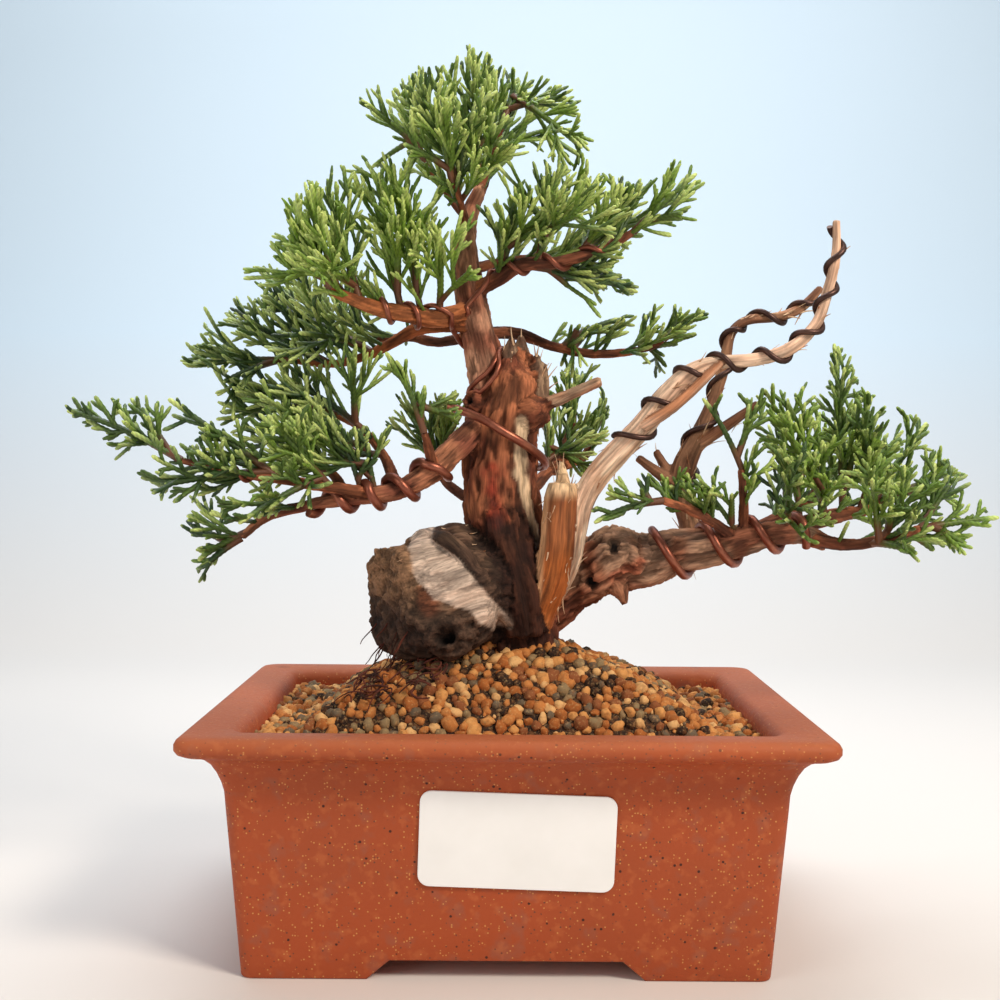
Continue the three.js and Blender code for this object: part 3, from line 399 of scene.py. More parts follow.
def cut(piece, tool):
    """Takes the tool's shape out of the piece and removes the tool."""
    boolean = piece.modifiers.new("cut", "BOOLEAN")
    boolean.object = tool
    boolean.solver = "EXACT"
    apply_modifiers(piece)
    bpy.data.objects.remove(tool)


def pot_body():
    """The lofted pot with its cut-outs, its drain holes and softened edges."""
    rows = POT_OUTSIDE + POT_INSIDE
    body = cleaned(mesh_object("pot_clay", *loft([corner_ring(*row) for row in rows])))
    for side, (wide, narrow) in FOOT_GAPS.items():
        section = [(-wide - 1, -1), (wide + 1, -1), (narrow, FLOOR_UNDER), (-narrow, FLOOR_UNDER)]
        cut(body, prism(side + "_gap", section, 100, side == "side"))
    for side in (-1, 1):
        angles = np.linspace(0, 2 * math.pi, 32, endpoint=False)
        circle = [(DRAIN_RADIUS * math.cos(a), DRAIN_RADIUS * math.sin(a) + POT_BACK) for a in angles]
        circle = [(x + side * DRAIN_OFFSET, y) for x, y in circle]
        cut(body, cleaned(mesh_object("drain", *loft([[(x, y, z) for x, y in circle] for z in (0, 20)]))))
    edges = body.modifiers.new("worn_edges", "BEVEL")
    edges.width = WORN_EDGE * MM
    edges.segments = 2
    edges.limit_method = "ANGLE"
    edges.angle_limit = math.radians(50)
    return apply_modifiers(body)


# %% [markdown]
# ### Unglazed stoneware
# The clay holds fine iron and sand: under a lens it is a brick-brown ground with grains of gold, grey
# and black, about half a millimetre across. The rim's top is lighter and more orange, partly worn by
# hands and water and partly painted highlight where the light falls on it, and a few dark stains of
# soil water have run down from it.


# %% Stoneware
def spotted(tree, place, colour, per_metre, shift, share, size, hex_colour):
    """The colour with a share of the pattern's cells spotted in another colour."""
    add = partial(add_node, tree)
    moved = add("ShaderNodeVectorMath", {0: place, 1: (shift, shift, shift)})
    cells = add("ShaderNodeTexVoronoi", {"Vector": moved, "Scale": per_metre})
    chance = add("ShaderNodeSeparateColor", {0: cells.outputs["Color"]})
    chosen = add("ShaderNodeMath", {0: chance, 1: share}, operation="LESS_THAN")
    near = add(
        "ShaderNodeMapRange",
        {"Value": cells.outputs["Distance"], "From Min": size, "From Max": size * 0.6},
    )
    both = add("ShaderNodeMath", {0: chosen, 1: near}, operation="MULTIPLY")
    mixed = add("ShaderNodeMix", {0: both, 6: colour, 7: linear(hex_colour)}, data_type="RGBA")
    return mixed.outputs[2]


def mix_by_noise(tree, place, colour, per_metre, low, high, most, hex_colour, detail=4):
    """The colour mixed towards another one where a noise lies above low, fully above high."""
    add = partial(add_node, tree)
    noise = add("ShaderNodeTexNoise", {"Vector": place, "Scale": per_metre, "Detail": detail})
    share = add("ShaderNodeMapRange", {"Value": noise, "From Min": low, "From Max": high, "To Max": most})
    mixed = add("ShaderNodeMix", {0: share, 6: colour, 7: linear(hex_colour)}, data_type="RGBA")
    return mixed.outputs[2]


def stoneware():
    """Brick-brown fired clay with mineral grains, a rim top lighter from wear and painted highlight, and
    water stains.
    """
    material, tree, shader = new_material("unglazed_stoneware", IOR=1.5, Specular_IOR_Level=0.3)
    add = partial(add_node, tree)
    place = add("ShaderNodeTexCoord").outputs["Object"]
    brick = add("ShaderNodeRGB").outputs[0]
    brick.default_value = linear("#A94C26")
    colour = mix_by_noise(tree, place, brick, 26, 0.42, 0.66, 0.75, "#9E4A28")
    colour = mix_by_noise(tree, place, colour, 170, 0.56, 0.70, 0.34, "#8A5F4F")
    colour = mix_by_noise(tree, place, colour, 330, 0.55, 0.72, 0.35, "#C8703F", 2)
    colour = spotted(tree, place, colour, 1400, 0.0, 0.15, 0.38, "#C98A4E")
    colour = spotted(tree, place, colour, 1200, 3.1, 0.08, 0.38, "#70402F")
    colour = spotted(tree, place, colour, 650, 7.7, 0.04, 0.3, "#45241A")
    height = add("ShaderNodeSeparateXYZ", {0: place}).outputs["Z"]
    # The rim's top is mixed lighter and more orange: partly wear, partly painted highlight where the light
    # falls on it.
    rim_share = add(
        "ShaderNodeMapRange",
        {"Value": height, "From Min": 0.0605, "From Max": 0.0643, "To Max": 0.55},
    )
    wear_and_sheen = add("ShaderNodeMix", {0: rim_share, 6: colour, 7: linear("#B4683F")}, data_type="RGBA")
    stretched = add("ShaderNodeVectorMath", {0: place, 1: (1, 1, 0.35)}, operation="MULTIPLY")
    stained = mix_by_noise(tree, stretched, wear_and_sheen.outputs[2], 60, 0.68, 0.78, 0.55, "#5E3324", 6)
    fine = add("ShaderNodeTexNoise", {"Vector": place, "Scale": 900, "Detail": 4})
    rough = add("ShaderNodeMapRange", {"Value": fine, "To Min": 0.5, "To Max": 0.78})
    bump = add("ShaderNodeBump", {"Height": fine, "Distance": 0.00012, "Strength": 0.7})
    feed(tree, shader, {"Base Color": stained, "Roughness": rough, "Normal": bump})
    return material


pot = finish_piece(pot_body(), "pot", "pot", material=stoneware())
print("pot:", TRIANGLES[pot.name], "triangles")

# %% [markdown]
# ## The sticker
# A price sticker of coated paper is stuck to the front wall, a little askew. It stays bare here. It
# is a thin plate with round corners that lies on the leaning wall, over its plain solid.

# %% Sticker
STICKER = {"width": 50, "height": 25, "corner": 3, "x": 2.6, "z": 37, "turn": -0.031, "lift": 0.3}
WALL_LEAN = math.atan2(WALL_FOOT - WALL_INSET, WALL_TOP)


def sticker():
    """A thin plate with round corners on the leaning front wall."""
    half_h = STICKER["height"] / 2
    outline = round_rectangle(STICKER["width"] / 2, half_h, STICKER["corner"])
    turn = Matrix.Rotation(math.pi / 2 + WALL_LEAN, 3, "X") @ Matrix.Rotation(STICKER["turn"], 3, "Z")
    wall_y = RIM_HALF[1] - POT_BACK - WALL_FOOT + STICKER["z"] * math.tan(WALL_LEAN)
    rings = []
    for inset, rise in [(0, 0.0), (0, 0.42), (0.12, 0.5)]:
        ring = []
        for x, y in outline:
            shrink = 1 - inset / half_h
            moved = turn @ Vector((x * shrink, y * shrink, STICKER["lift"] + rise))
            ring.append((moved[0] + STICKER["x"], moved[1] - wall_y, moved[2] + STICKER["z"]))
        rings.append(ring)
    return cleaned(mesh_object("sticker", *loft(rings)))


def coated_paper():
    """White clay-coated paper, smooth, with a faint warm cloudiness."""
    material, tree, shader = new_material("coated_paper", Roughness=0.42, Specular_IOR_Level=0.4)
    add = partial(add_node, tree)
    place = add("ShaderNodeTexCoord").outputs["Object"]
    clouds = add("ShaderNodeTexNoise", {"Vector": place, "Scale": 90, "Detail": 3})
    mixed = add("ShaderNodeMix", {0: clouds, 6: linear("#EFEFEC"), 7: linear("#FBFBFA")}, data_type="RGBA")
    bump = add("ShaderNodeBump", {"Height": clouds, "Distance": 0.0001, "Strength": 0.5})
    feed(tree, shader, {"Base Color": mixed.outputs[2], "Normal": bump})
    return material


finish_piece(sticker(), "label", "label", material=coated_paper(), smooth=False)
print("pot and sticker:", sum(TRIANGLES.values()), "triangles")

# %% [markdown]
# ### Drainage meshes
# Under the soil a moulded plastic mesh covers each drain hole and keeps the granules in. Nobody sees
# it, so its plain solid stays, and only gets the dull dark plastic that such meshes are moulded from.

# %% Moulded plastic
PLASTIC, tree, shader = new_material("moulded_polyethylene", Roughness=0.55, Specular_IOR_Level=0.4)
place = add_node(tree, "ShaderNodeTexCoord").outputs["Object"]
black = add_node(tree, "ShaderNodeRGB").outputs[0]
black.default_value = linear("#2A2C2A")
dusty = mix_by_noise(tree, place, black, 400, 0.5, 0.8, 0.5, "#5A5248")
feed(tree, shader, {"Base Color": dusty})
for side in ("left", "right"):
    mesh_node = bpy.data.objects["drain_mesh_" + side]
    mesh_node.data.materials.clear()
    mesh_node.data.materials.append(PLASTIC)

# %% [markdown]
# ## The soil
# Bonsai grow in loose granules of baked clay and pumice, 2 to 5 mm across, heaped up towards the
# trunk. A closed mound gives the heap its body, coloured near-black brown as painted shade in the gaps
# between the lumps. Geometry Nodes scatter lumps over it, all turned and sized at random, then fill
# the gaps with crumbs, because a texture alone would look flat at the rim.

# %% The mound
MOUND = {"edge": 61, "rise": 26, "x": 0, "y": 1, "reach_x": 72, "reach_y": 53, "power": 0.65}
SOIL_GAP = 0.2
SOIL_SINK = 2.3  # the lumps stand out of the mound by about this much


def mound_height(points):
    """The height of the heaped soil over each point."""
    x = (points[:, 0] - MOUND["x"]) / MOUND["reach_x"]
    y = (points[:, 1] - MOUND["y"]) / MOUND["reach_y"]
    away = np.minimum(np.hypot(x, y), 1)
    return MOUND["edge"] + MOUND["rise"] * (1 - away) ** MOUND["power"]


def mound():
    """A closed body: the pot's inner wall, and a heaped top that lies under the lumps."""
    rings = [corner_ring(inset + SOIL_GAP, z, r, 6) for inset, z, r in ((19.5, 11.3, 3.5), (15.6, 50, 4.5))]
    rows = len(rings)
    for share in np.linspace(1, 0.03, 26):
        ring = np.array(corner_ring(14.5 + SOIL_GAP, 0, 5, 6, share))
        ring[:, 2] = mound_height(ring) - SOIL_SINK + 1.4 * (value_noise(ring, 4, 5) - 0.5)
        rings.append([tuple(p) for p in ring])
    points, faces = loft(rings)
    top = np.repeat([0.0] * rows + [1.0] * (len(rings) - rows), len(rings[0]))
    return mesh_object("soil_granules", points, faces, numbers={"top": top})


# %% Baked clay granules
def granule_clay():
    """Porous baked clay and pumice: each lump has its own colour, and a rough, dull, dusty skin."""
    material, tree, shader = new_material("baked_clay_granules", Roughness=0.92, Specular_IOR_Level=0.25)
    add = partial(add_node, tree)
    place = add("ShaderNodeTexCoord").outputs["Object"]
    tint = add("ShaderNodeAttribute", attribute_name="tint").outputs["Fac"]
    ramp = add("ShaderNodeValToRGB", {0: tint})
    stops = [
        (0.0, "#C27C42"), (0.2, "#D69656"), (0.4, "#A9622F"), (0.54, "#E2B074"), (0.66, "#8C5230"),
        (0.73, "#8F7856"), (0.83, "#6A5B49"), (0.93, "#2E2019"),
    ]
    ramp.color_ramp.interpolation = "CONSTANT"
    for at, hex_colour in stops[1:-1]:
        ramp.color_ramp.elements.new(at)
    for element, (at, hex_colour) in zip(ramp.color_ramp.elements, stops):
        element.position = at
        element.color = linear(hex_colour)
    colour = mix_by_noise(tree, place, ramp, 700, 0.48, 0.7, 0.5, "#8A5A34")
    colour = mix_by_noise(tree, place, colour, 1500, 0.55, 0.75, 0.4, "#E2B87C", 2)
    fine = add("ShaderNodeTexNoise", {"Vector": place, "Scale": 1400, "Detail": 3})
    bump = add("ShaderNodeBump", {"Height": fine, "Distance": 0.0002, "Strength": 0.9})
    feed(tree, shader, {"Base Color": colour, "Normal": bump})
    return material


GRANULES = granule_clay()

# %% Scattered lumps
LUMP_KINDS = 6
MOST_LUMPS = 900000  # per square metre, before those that stand too near are dropped


def lumps(tree, subdivisions):
    """Several lumps of about 1 unit across, each a sphere pulled out of shape by its own noise."""
    add = partial(add_node, tree)
    joined = tree.nodes.new("GeometryNodeJoinGeometry")
    for kind in range(LUMP_KINDS):
        ball = add("GeometryNodeMeshIcoSphere", {"Radius": 0.5, "Subdivisions": subdivisions})
        place = add("GeometryNodeInputPosition")
        apart = add("ShaderNodeVectorMath", {0: place, 1: (3.7 * kind, 1.3, 2.1 * kind)})
        noise = add("ShaderNodeTexNoise", {"Vector": apart, "Scale": 1.9, "Detail": 2})
        away = add(
            "ShaderNodeVectorMath", {0: noise.outputs["Color"], 1: (0.5, 0.5, 0.5)}, operation="SUBTRACT"
        )
        pull = add("ShaderNodeVectorMath", {0: away, "Scale": 0.8}, operation="SCALE")
        lump = add("GeometryNodeSetPosition", {0: ball.outputs["Mesh"], "Offset": pull})
        single = add("GeometryNodeGeometryToInstance", {0: lump})
        feed(tree, joined, {0: single})
    return joined.outputs[0]


def scatter_tree():
    """Lumps and crumbs over the faces marked as the top, with a random tint, turn and size."""
    names = ("Lump_spacing", "Smallest", "Largest", "Crumbs_per_area")
    tree, start, end = new_tree("scattered granules", **dict.fromkeys(names, "Float"))
    add = partial(add_node, tree)
    body = start.outputs["Geometry"]
    top = add("GeometryNodeInputNamedAttribute", {"Name": "top"}, data_type="FLOAT")
    joined = tree.nodes.new("GeometryNodeJoinGeometry")
    # The mound's body takes the near-black brown of the last tint: painted shade in the gaps between the
    # lumps.
    gap_shade_body = add("GeometryNodeStoreNamedAttribute", {0: body, 2: "tint", 3: 0.97})
    feed(tree, joined, {0: gap_shade_body})
    for seed, subdivisions in ((11, 2), (23, 1)):
        spread = add("GeometryNodeDistributePointsOnFaces", {"Mesh": body, "Selection": top, "Seed": seed})
        size = add("FunctionNodeRandomValue", {"Seed": seed}, data_type="FLOAT").outputs[1]
        if subdivisions == 2:
            spread.distribute_method = "POISSON"
            feed(tree, spread, {2: start.outputs["Lump spacing"], 3: MOST_LUMPS})
            skewed = add("ShaderNodeMath", {0: size, 1: 1.7}, operation="POWER")
            scale = add(
                "ShaderNodeMapRange",
                {"Value": skewed, "To Min": start.outputs["Smallest"], "To Max": start.outputs["Largest"]},
            )
        else:
            feed(tree, spread, {4: start.outputs["Crumbs per area"]})
            scale = add("ShaderNodeMath", {0: start.outputs["Smallest"], 1: 0.55}, operation="MULTIPLY")
        tint = add("FunctionNodeRandomValue", {"Seed": seed + 1}, data_type="FLOAT").outputs[1]
        tinted = add("GeometryNodeStoreNamedAttribute", {0: spread.outputs["Points"], 2: "tint", 3: tint})
        turn = add(
            "FunctionNodeRandomValue",
            {1: (6.28, 6.28, 6.28), "Seed": seed + 2},
            data_type="FLOAT_VECTOR",
        )
        flat = add(
            "FunctionNodeRandomValue",
            {0: (0.8, 0.75, 0.62), 1: (1.15, 1.1, 1.0), "Seed": seed + 3},
            data_type="FLOAT_VECTOR",
        )
        sized = add("ShaderNodeVectorMath", {0: flat, "Scale": scale}, operation="SCALE")
        shapes = lumps(tree, subdivisions)
        each = {"Instance": shapes, "Pick Instance": True, "Rotation": turn, "Scale": sized}
        placed = add("GeometryNodeInstanceOnPoints", {0: tinted, **each})
        feed(tree, joined, {0: placed})
    real = add("GeometryNodeRealizeInstances", {0: joined})
    dressed = add("GeometryNodeSetMaterial", {0: real, "Material": GRANULES})
    feed(tree, end, {0: dressed})
    return tree


soil = cleaned(mound())
granule_sizes = {"Lump spacing": 2.3 * MM, "Smallest": 2.5 * MM, "Largest": 4.7 * MM}
apply_tree(soil, scatter_tree(), **granule_sizes, **{"Crumbs per area": 0.07 / MM**2})
finish_piece(soil, "soil", "soil")
print("soil:", TRIANGLES[soil.name], "triangles")

# %% [markdown]
# ## The tree's limbs
# A juniper trained for years is one piece of wood from the roots to the twigs. Each limb here is a
# smooth curve through listed points, each with the limb's radius there. Tubes along the curves
# overlap where limbs join, and a voxel remesh melts them into one skin without any inner walls.

# %% The limbs
LIMBS = {
    "trunk": [
        (6, 1, 56, 9), (4, 0, 70, 11), (3, 0, 82, 11), (1.5, 0, 93, 11.3), (0, 0, 108, 11),
        (-2, 0, 122, 10.7), (-2, 0, 137, 10.4), (-0.5, 0, 149, 10), (0.8, 0, 157, 8.8),
        (1.5, 0, 160, 6.5),
    ],
    "knob": [
        (-40.3, -12, 95.5, 10.5), (-38.2, -12, 95.5, 13.4), (-30, -11.5, 93.8, 16.2),
        (-21, -10, 94.5, 18.6), (-14, -8, 96.5, 18.2), (-7, -4, 96, 14), (0, -1, 95, 10),
    ],
    "trunk_foot": [(-2, -3, 118, 8), (0.5, -7.5, 106, 8.5), (3.5, -9.5, 96, 7.6), (5.5, -8.5, 85, 6.5)],
    "knob_lip": [
        (-22.5, -8, 112.5, 2.2), (-15.8, -20.5, 111, 2.4), (-9.7, -22.5, 104.4, 2.3),
        (-3.6, -18, 95.5, 2.1), (2, -12.5, 87, 1.8),
    ],
    "knob_burl": [(-16.3, -15, 88.5, 9), (-16.3, -21.5, 86.5, 8), (-16.4, -25.5, 85.5, 5.6)],
    "burl_left": [(-5, -1, 148, 5), (-10, -3.5, 150.3, 3.7), (-12, -4.5, 151, 2)],
    "burl_stub": [(3, -4, 147, 5.5), (8, -7, 147.6, 4.6), (10.4, -8.4, 148.4, 3)],
    "burl_right": [(25, -2, 103, 7.5), (31.5, -3.5, 107, 8.2), (37, -4, 106.5, 6.5)],
    "spur_right": [(31, -4, 99, 3.8), (33, -5, 94.6, 1.7), (33.6, -5, 92.6, 0.7)],
    "splinter_front": [(0, -3, 150, 6), (0, -3.4, 160, 4), (0.6, -3.4, 169, 0.8)],
    "splinter_middle": [(3, 1, 148, 6), (3.4, 1, 160, 4.2), (3.4, 0, 170, 0.8)],
    "splinter_right": [(5.5, -1, 150, 5.5), (7.2, -1, 158, 3.4), (8, -1.5, 164.6, 0.7)],
    "splinter_end": [(7, -1, 146, 4.5), (9.2, -1, 155, 2.6), (10.3, -1, 162, 0.6)],
    "stub": [(4, -3, 147, 3), (10, -7, 149.5, 2.3), (17, -10, 152.4, 1.6), (25.4, -14, 156, 1.5)],
    "leader": [
        (-4, 0, 143, 6), (-5.5, 0, 155, 5.9), (-8, 0, 167, 4.9), (-11, 0, 180, 4.4), (-13, 1, 193, 3.5),
        (-12, 2, 204, 2.6), (-9, 2, 212, 1.8),
    ],
    "crown_right_twig": [(-10, 2, 210, 1.5), (-6, 4, 222, 1.5), (-2, 6, 234, 1)],
    "crown_left_twig": [(-12, 2, 203, 1.5), (-19, 8, 213, 1.3), (-26, 10, 222, 1)],
    "crown_front_twig": [(-12, 2, 200, 1.5), (-14, -12, 205, 1.3), (-16, -22, 209, 1)],
    "crown_back_twig": [(-11, 3, 206, 1.5), (-8, 16, 216, 1.4), (-6, 28, 226, 1.1)],
    "right_crown": [
        (-11, 0, 182, 2.6), (-3, -5, 186, 2.3), (3, -8, 189, 2), (14, -8, 190, 1.7), (26, -6, 194, 1.4),
        (35, -5, 199, 1.1),
    ],
    "right_crown_back": [(-12, 3, 189, 1.8), (-3, 14, 193, 1.5), (9, 24, 196, 1.2), (22, 30, 195, 1.1)],
    "upper_left": [
        (-11, 0, 177, 2.9), (-20, -8, 174, 2.8), (-28, -14, 174, 2.5), (-39, -18, 176, 2.2),
        (-49, -20, 180, 1.4),
    ],
    "left_mid": [
        (-8, -1, 172, 2), (-24, -3, 172, 2), (-33, 0, 168, 1.7), (-42, 4, 164, 1.5), (-53, 8, 162, 1.2),
        (-64, 10, 163, 1),
    ],
    "left_back": [
        (-10, 2, 170, 1.8), (-21, 12, 169, 1.5), (-30, 18, 171, 1.5), (-40, 26, 171, 1.2),
        (-50, 32, 173, 1.1),
    ],
    "low_left": [
        (-3, 0, 145, 4), (-9, -4, 143, 4.1), (-15, -10, 137, 3.7), (-21, -15, 131, 3.3),
        (-29, -18, 126, 2.8), (-37, -20, 124, 2.5), (-45, -20, 123, 2.2), (-55, -20, 121, 1.6),
        (-66, -20, 118, 1.4), (-73, -22, 112, 1.1),
    ],
    "low_left_arm": [
        (-36, -20, 124, 1.9), (-48, -26, 126, 1.6), (-61, -30, 128, 1.3), (-74, -32, 130, 1.1),
        (-87, -32, 133, 0.9),
    ],
    "low_left_rise": [(-31, -18, 126, 1.9), (-36, -10, 136, 1.4), (-43, -2, 143, 1.2), (-51, 4, 147, 1)],
    "low_left_twig": [(-44, -20, 123, 1.6), (-50, -12, 130, 1.4), (-59, -5, 136, 1)],
    "bright_twig": [(-21, -15, 131, 1.7), (-22, -22, 137, 1.4), (-23, -26, 141, 1.1)],
    "trunk_back_twig": [(-5, 2, 119, 2), (-16, 14, 125, 1.5), (-21, 22, 130, 1.2), (-21, 26, 137, 1.1)],
    "mid_right": [
        (-7, 4, 171, 2.1), (3, 16, 172, 1.8), (13, 22, 169, 1.5), (26, 24, 167, 1.5),
        (40, 22, 168, 1.2), (47, 20, 171, 1.1),
    ],
    "back_rise": [(2, 4, 121, 2.6), (11, 24, 129, 1.9), (17, 36, 136, 1.6), (21, 42, 146, 1.3)],
    "back_fork": [(14, 28, 131, 1.9), (25, 40, 136, 1.6), (28, 46, 144, 1.3)],
    "jin_main": [
        (9.5, -8, 87, 3), (11.4, -10, 92.5, 2.8), (15, -11.5, 99, 2.8), (18, -12, 106.5, 2.8),
        (19.4, -12, 114, 2.8), (20.8, -12, 121.5, 3.1), (24, -12.5, 128.5, 3.6),
        (29, -13.5, 134.6, 3.5), (37, -15.5, 143.4, 3.3), (43, -16, 151, 3.4), (50, -18, 158, 2.8),
        (57, -18, 161, 1.9), (68, -18, 162, 1.9), (77, -20, 165, 1.9), (84, -20, 172, 1.6),
        (87, -20, 181, 1.6), (89, -20, 190, 1.4), (89, -20, 200, 1.1),
    ],
    "jin_fork": [(35, -16, 142, 2), (44, -21, 148, 1.6), (51, -21, 154, 1.4), (58, -19, 161, 1.3)],
    "jin_break": [
        (8.5, -8, 87, 4.2), (9.7, -9.8, 92.5, 4.6), (12, -11.5, 99, 5), (13.6, -12.5, 107, 5.1),
        (14.3, -12.5, 116, 5), (14.8, -12.5, 123.5, 4.7), (15, -12.5, 127.4, 3.8),
    ],
    "jin_chip": [(15.5, -8.5, 124, 2.8), (15.2, -8.5, 130, 1.7), (14.8, -8.5, 133.6, 0.7)],
    "jin_second": [
        (51, -3, 106, 4), (54, 4, 109, 3.6), (54, 8, 115, 3.2), (52, 8, 122, 3), (52, 8, 132, 3.6),
        (57, 8, 143, 2.7), (61, 9, 153, 1.8), (64, 10, 163, 1.8), (66, 10, 172, 1.5),
        (71, 10, 176, 1.5), (80, 10, 177, 1.5), (87, 12, 180, 1.5), (93, 12, 186, 1.2),
    ],
    "jin_second_right": [(52, 8, 136, 2.1), (62, 6, 143, 1.8), (73, 4, 151, 1.2)],
    "jin_second_left": [(52, 8, 125, 2.4), (45, 8, 130, 1.8), (38, 6, 135, 1.2)],
    "jin_second_spur": [(51, 8, 127, 1.8), (47, 10, 132, 1.5), (44, 12, 137, 1.2)],
    "low_right": [
        (5, 3, 87, 8), (11, 3, 92, 8.2), (21, 1, 100, 8.6), (30, 0, 104, 8.6), (40, -2, 105, 7.5),
        (49, -4, 108, 6), (61, -6, 110, 4.9), (72, -8, 113, 4), (82, -10, 114, 3.1),
        (90, -11, 111, 2.3),
    ],
    "low_right_upper": [(76, -9, 114, 2.5), (92, -4, 118, 2.3), (104, 2, 120, 1.8), (113, 6, 124, 1.3)],
    "low_right_lower": [
        (86, -11, 112, 2.3), (94, -18, 111, 1.7), (104, -22, 113, 1.4), (112, -24, 116, 1.1),
    ],
    "low_right_back": [(64, -4, 111, 2.3), (79, 14, 116, 1.8), (91, 26, 121, 1.6), (102, 34, 125, 1.3)],
    "low_right_rise": [(67, -7, 112, 1.7), (66, -12, 123, 1.4), (65, -14, 132, 1.1)],
    "low_right_return": [(65, -7, 112, 1.7), (53, -18, 119, 1.4), (42, -24, 123, 1.1)],
}

# %% Curves through the points
def curve_through(rows, at):
    """A smooth curve through a table's rows, at places counted in rows, and the straight way there."""
    table = np.array(rows, float)
    padded = np.vstack([2 * table[0] - table[1], table, 2 * table[-1] - table[-2]])
    span = np.minimum(at.astype(int), len(table) - 2)
    part = (at - span)[:, None]
    a, b, c, d = (padded[span + k] for k in range(4))
    cubic = 2 * a - 5 * b + 4 * c - d + part * (3 * (b - c) + d - a)
    return b + 0.5 * part * (c - a + part * cubic), b + part * (c - b)


def limb_at(name, places):
    """Points and radii at these places, from 0 at a limb's root to 1 at its tip."""
    at = np.clip(np.asarray(places, float), 0, 1) * (len(LIMBS[name]) - 1)
    curved, straight = curve_through(LIMBS[name], at)
    return curved[:, :3], straight[:, 3]


def unit(vectors):
    """The vectors at length 1."""
    vectors = np.asarray(vectors, float)
    return vectors / np.maximum(np.linalg.norm(vectors, axis=-1, keepdims=True), 1e-12)


def frames_along(points):
    """Tangents with two directions across them, which don't spin from one point to the next."""
    tangents = unit(np.gradient(points, axis=0))
    side = np.array([0, 0, 1.0])
    if abs(tangents[0] @ side) > 0.9:
        side = np.array([1.0, 0, 0])
    across = []
    for tangent in tangents:
        side = unit(side - (side @ tangent) * tangent)
        across.append(side)
    across = np.array(across)
    return tangents, across, np.cross(tangents, across)


def length_of(name):
    """A limb's length in millimetres."""
    points, _ = limb_at(name, np.linspace(0, 1, 60))
    return np.linalg.norm(np.diff(points, axis=0), axis=1).sum()


# %% One skin for all limbs
RIDGED = ("trunk", "knob", "low_right")
RIDGES = [(0.05, 3, 0.7), (0.04, 5, -1.1)]  # height in radii, how many, and their turn from point to point
FLATTENED = {"jin_main": 0.8}  # split wood is shallower than it is wide
VOXEL = 0.67
TUBE_STEP = 1.6
THICK_LIMB = 5  # the radius from which a tube gets more sides
THIN_SIDES, THICK_SIDES = 14, 36
KNOB_CUT = ((0.8, 0.59, 0.06), -30)  # the old sawn face: its direction and distance


def rounded(depth, bend):
    """The depth where it is above 0 and 0 where it is below, with a round bend between."""
    return (depth + np.sqrt(depth**2 + bend**2)) / 2


def limb_tube(name):
    """A closed tube along one limb, ridged or flattened where the limb is."""
    rows = max(6, round(length_of(name) / TUBE_STEP))
    places = np.linspace(0, 1, rows + 1)
    points, radii = limb_at(name, places)
    _, across, up = frames_along(points)
    sides = THICK_SIDES if radii.max() > THICK_LIMB else THIN_SIDES
    turns = np.linspace(0, 2 * math.pi, sides, endpoint=False)
    rings = []
    for row in range(rows + 1):
        relief = np.ones(sides)
        if name in RIDGED:
            along = places[row] * (len(LIMBS[name]) - 1)
            for height, count, drift in RIDGES:
                relief += height * np.sin(count * turns + drift * along)
        ring = np.outer(np.cos(turns), across[row]) + np.outer(np.sin(turns), up[row])
        ring[:, 1] *= FLATTENED.get(name, 1)
        rings.append(points[row] + ring * (radii[row] * relief)[:, None])
    if name == "knob":
        inward, distance = unit(KNOB_CUT[0]), KNOB_CUT[1]
        rings = [ring + rounded(distance - ring @ inward, 1.5)[:, None] * inward for ring in rings]
    return loft([[tuple(p) for p in ring] for ring in rings])


def wood_skin():
    """All limbs as one closed skin."""
    points, faces = [], []
    for name in LIMBS:
        tube_points, tube_faces = limb_tube(name)
        faces += [tuple(index + len(points) for index in face) for face in tube_faces]
        points += tube_points
    skin = cleaned(mesh_object("juniper_wood", points, faces))
    remesh = skin.modifiers.new("one_skin", "REMESH")
    remesh.mode = "VOXEL"
    remesh.voxel_size = VOXEL * MM * 1
    remesh.adaptivity = 0
    apply_modifiers(skin)
    shell = bmesh.new()
    shell.from_mesh(skin.data)
    islands = loose_parts(shell)
    small = [vert for island in islands[1:] for vert in island]
    bmesh.ops.delete(shell, geom=small, context="VERTS")
    shell.to_mesh(skin.data)
    shell.free()
    return skin


def loose_parts(shell):
    """The vertices of each part that hangs together, the largest part first."""
    waiting, found = set(shell.verts), []
    while waiting:
        island, edge = [], [waiting.pop()]
        while edge:
            vert = edge.pop()
            island.append(vert)
            for link in vert.link_edges:
                other = link.other_vert(vert)
                if other in waiting:
                    waiting.remove(other)
                    edge.append(other)
        found.append(island)
    return sorted(found, key=len, reverse=True)


wood = wood_skin()
print("wood's skin:", len(wood.data.vertices), "points")

# %% [markdown]
# ### Grain
# Bark and bare wood split along a limb, never across it, so every pattern needs to know which limb a
# point belongs to, how far along that limb it lies and where round it. The nearest middle line gives
# all three. They are stored as one vector, across, across and along, in millimetres.

# %% Which limb each point belongs to
# A sample's columns: place, radius, three directions, distance along the limb and its number.
PLACE, RADIUS, TANGENT, ACROSS, UP = slice(0, 3), 3, slice(4, 7), slice(7, 10), slice(10, 13)
GONE, NUMBER = 13, 14
SAMPLES_APART = 1.5
AT_ONCE = 3000


def limb_samples():
    """Samples at short steps along every limb."""
    rows = []
    for number, name in enumerate(LIMBS):
        steps = max(3, round(length_of(name) / SAMPLES_APART))
        points, radii = limb_at(name, np.linspace(0, 1, steps + 1))
        tangents, across, up = frames_along(points)
        gone = np.concatenate([[0], np.cumsum(np.linalg.norm(np.diff(points, axis=0), axis=1))])
        own = np.full(steps + 1, number)
        rows.append(np.column_stack([points, radii, tangents, across, up, gone, own]))
    return np.vstack(rows)


SAMPLES = limb_samples()


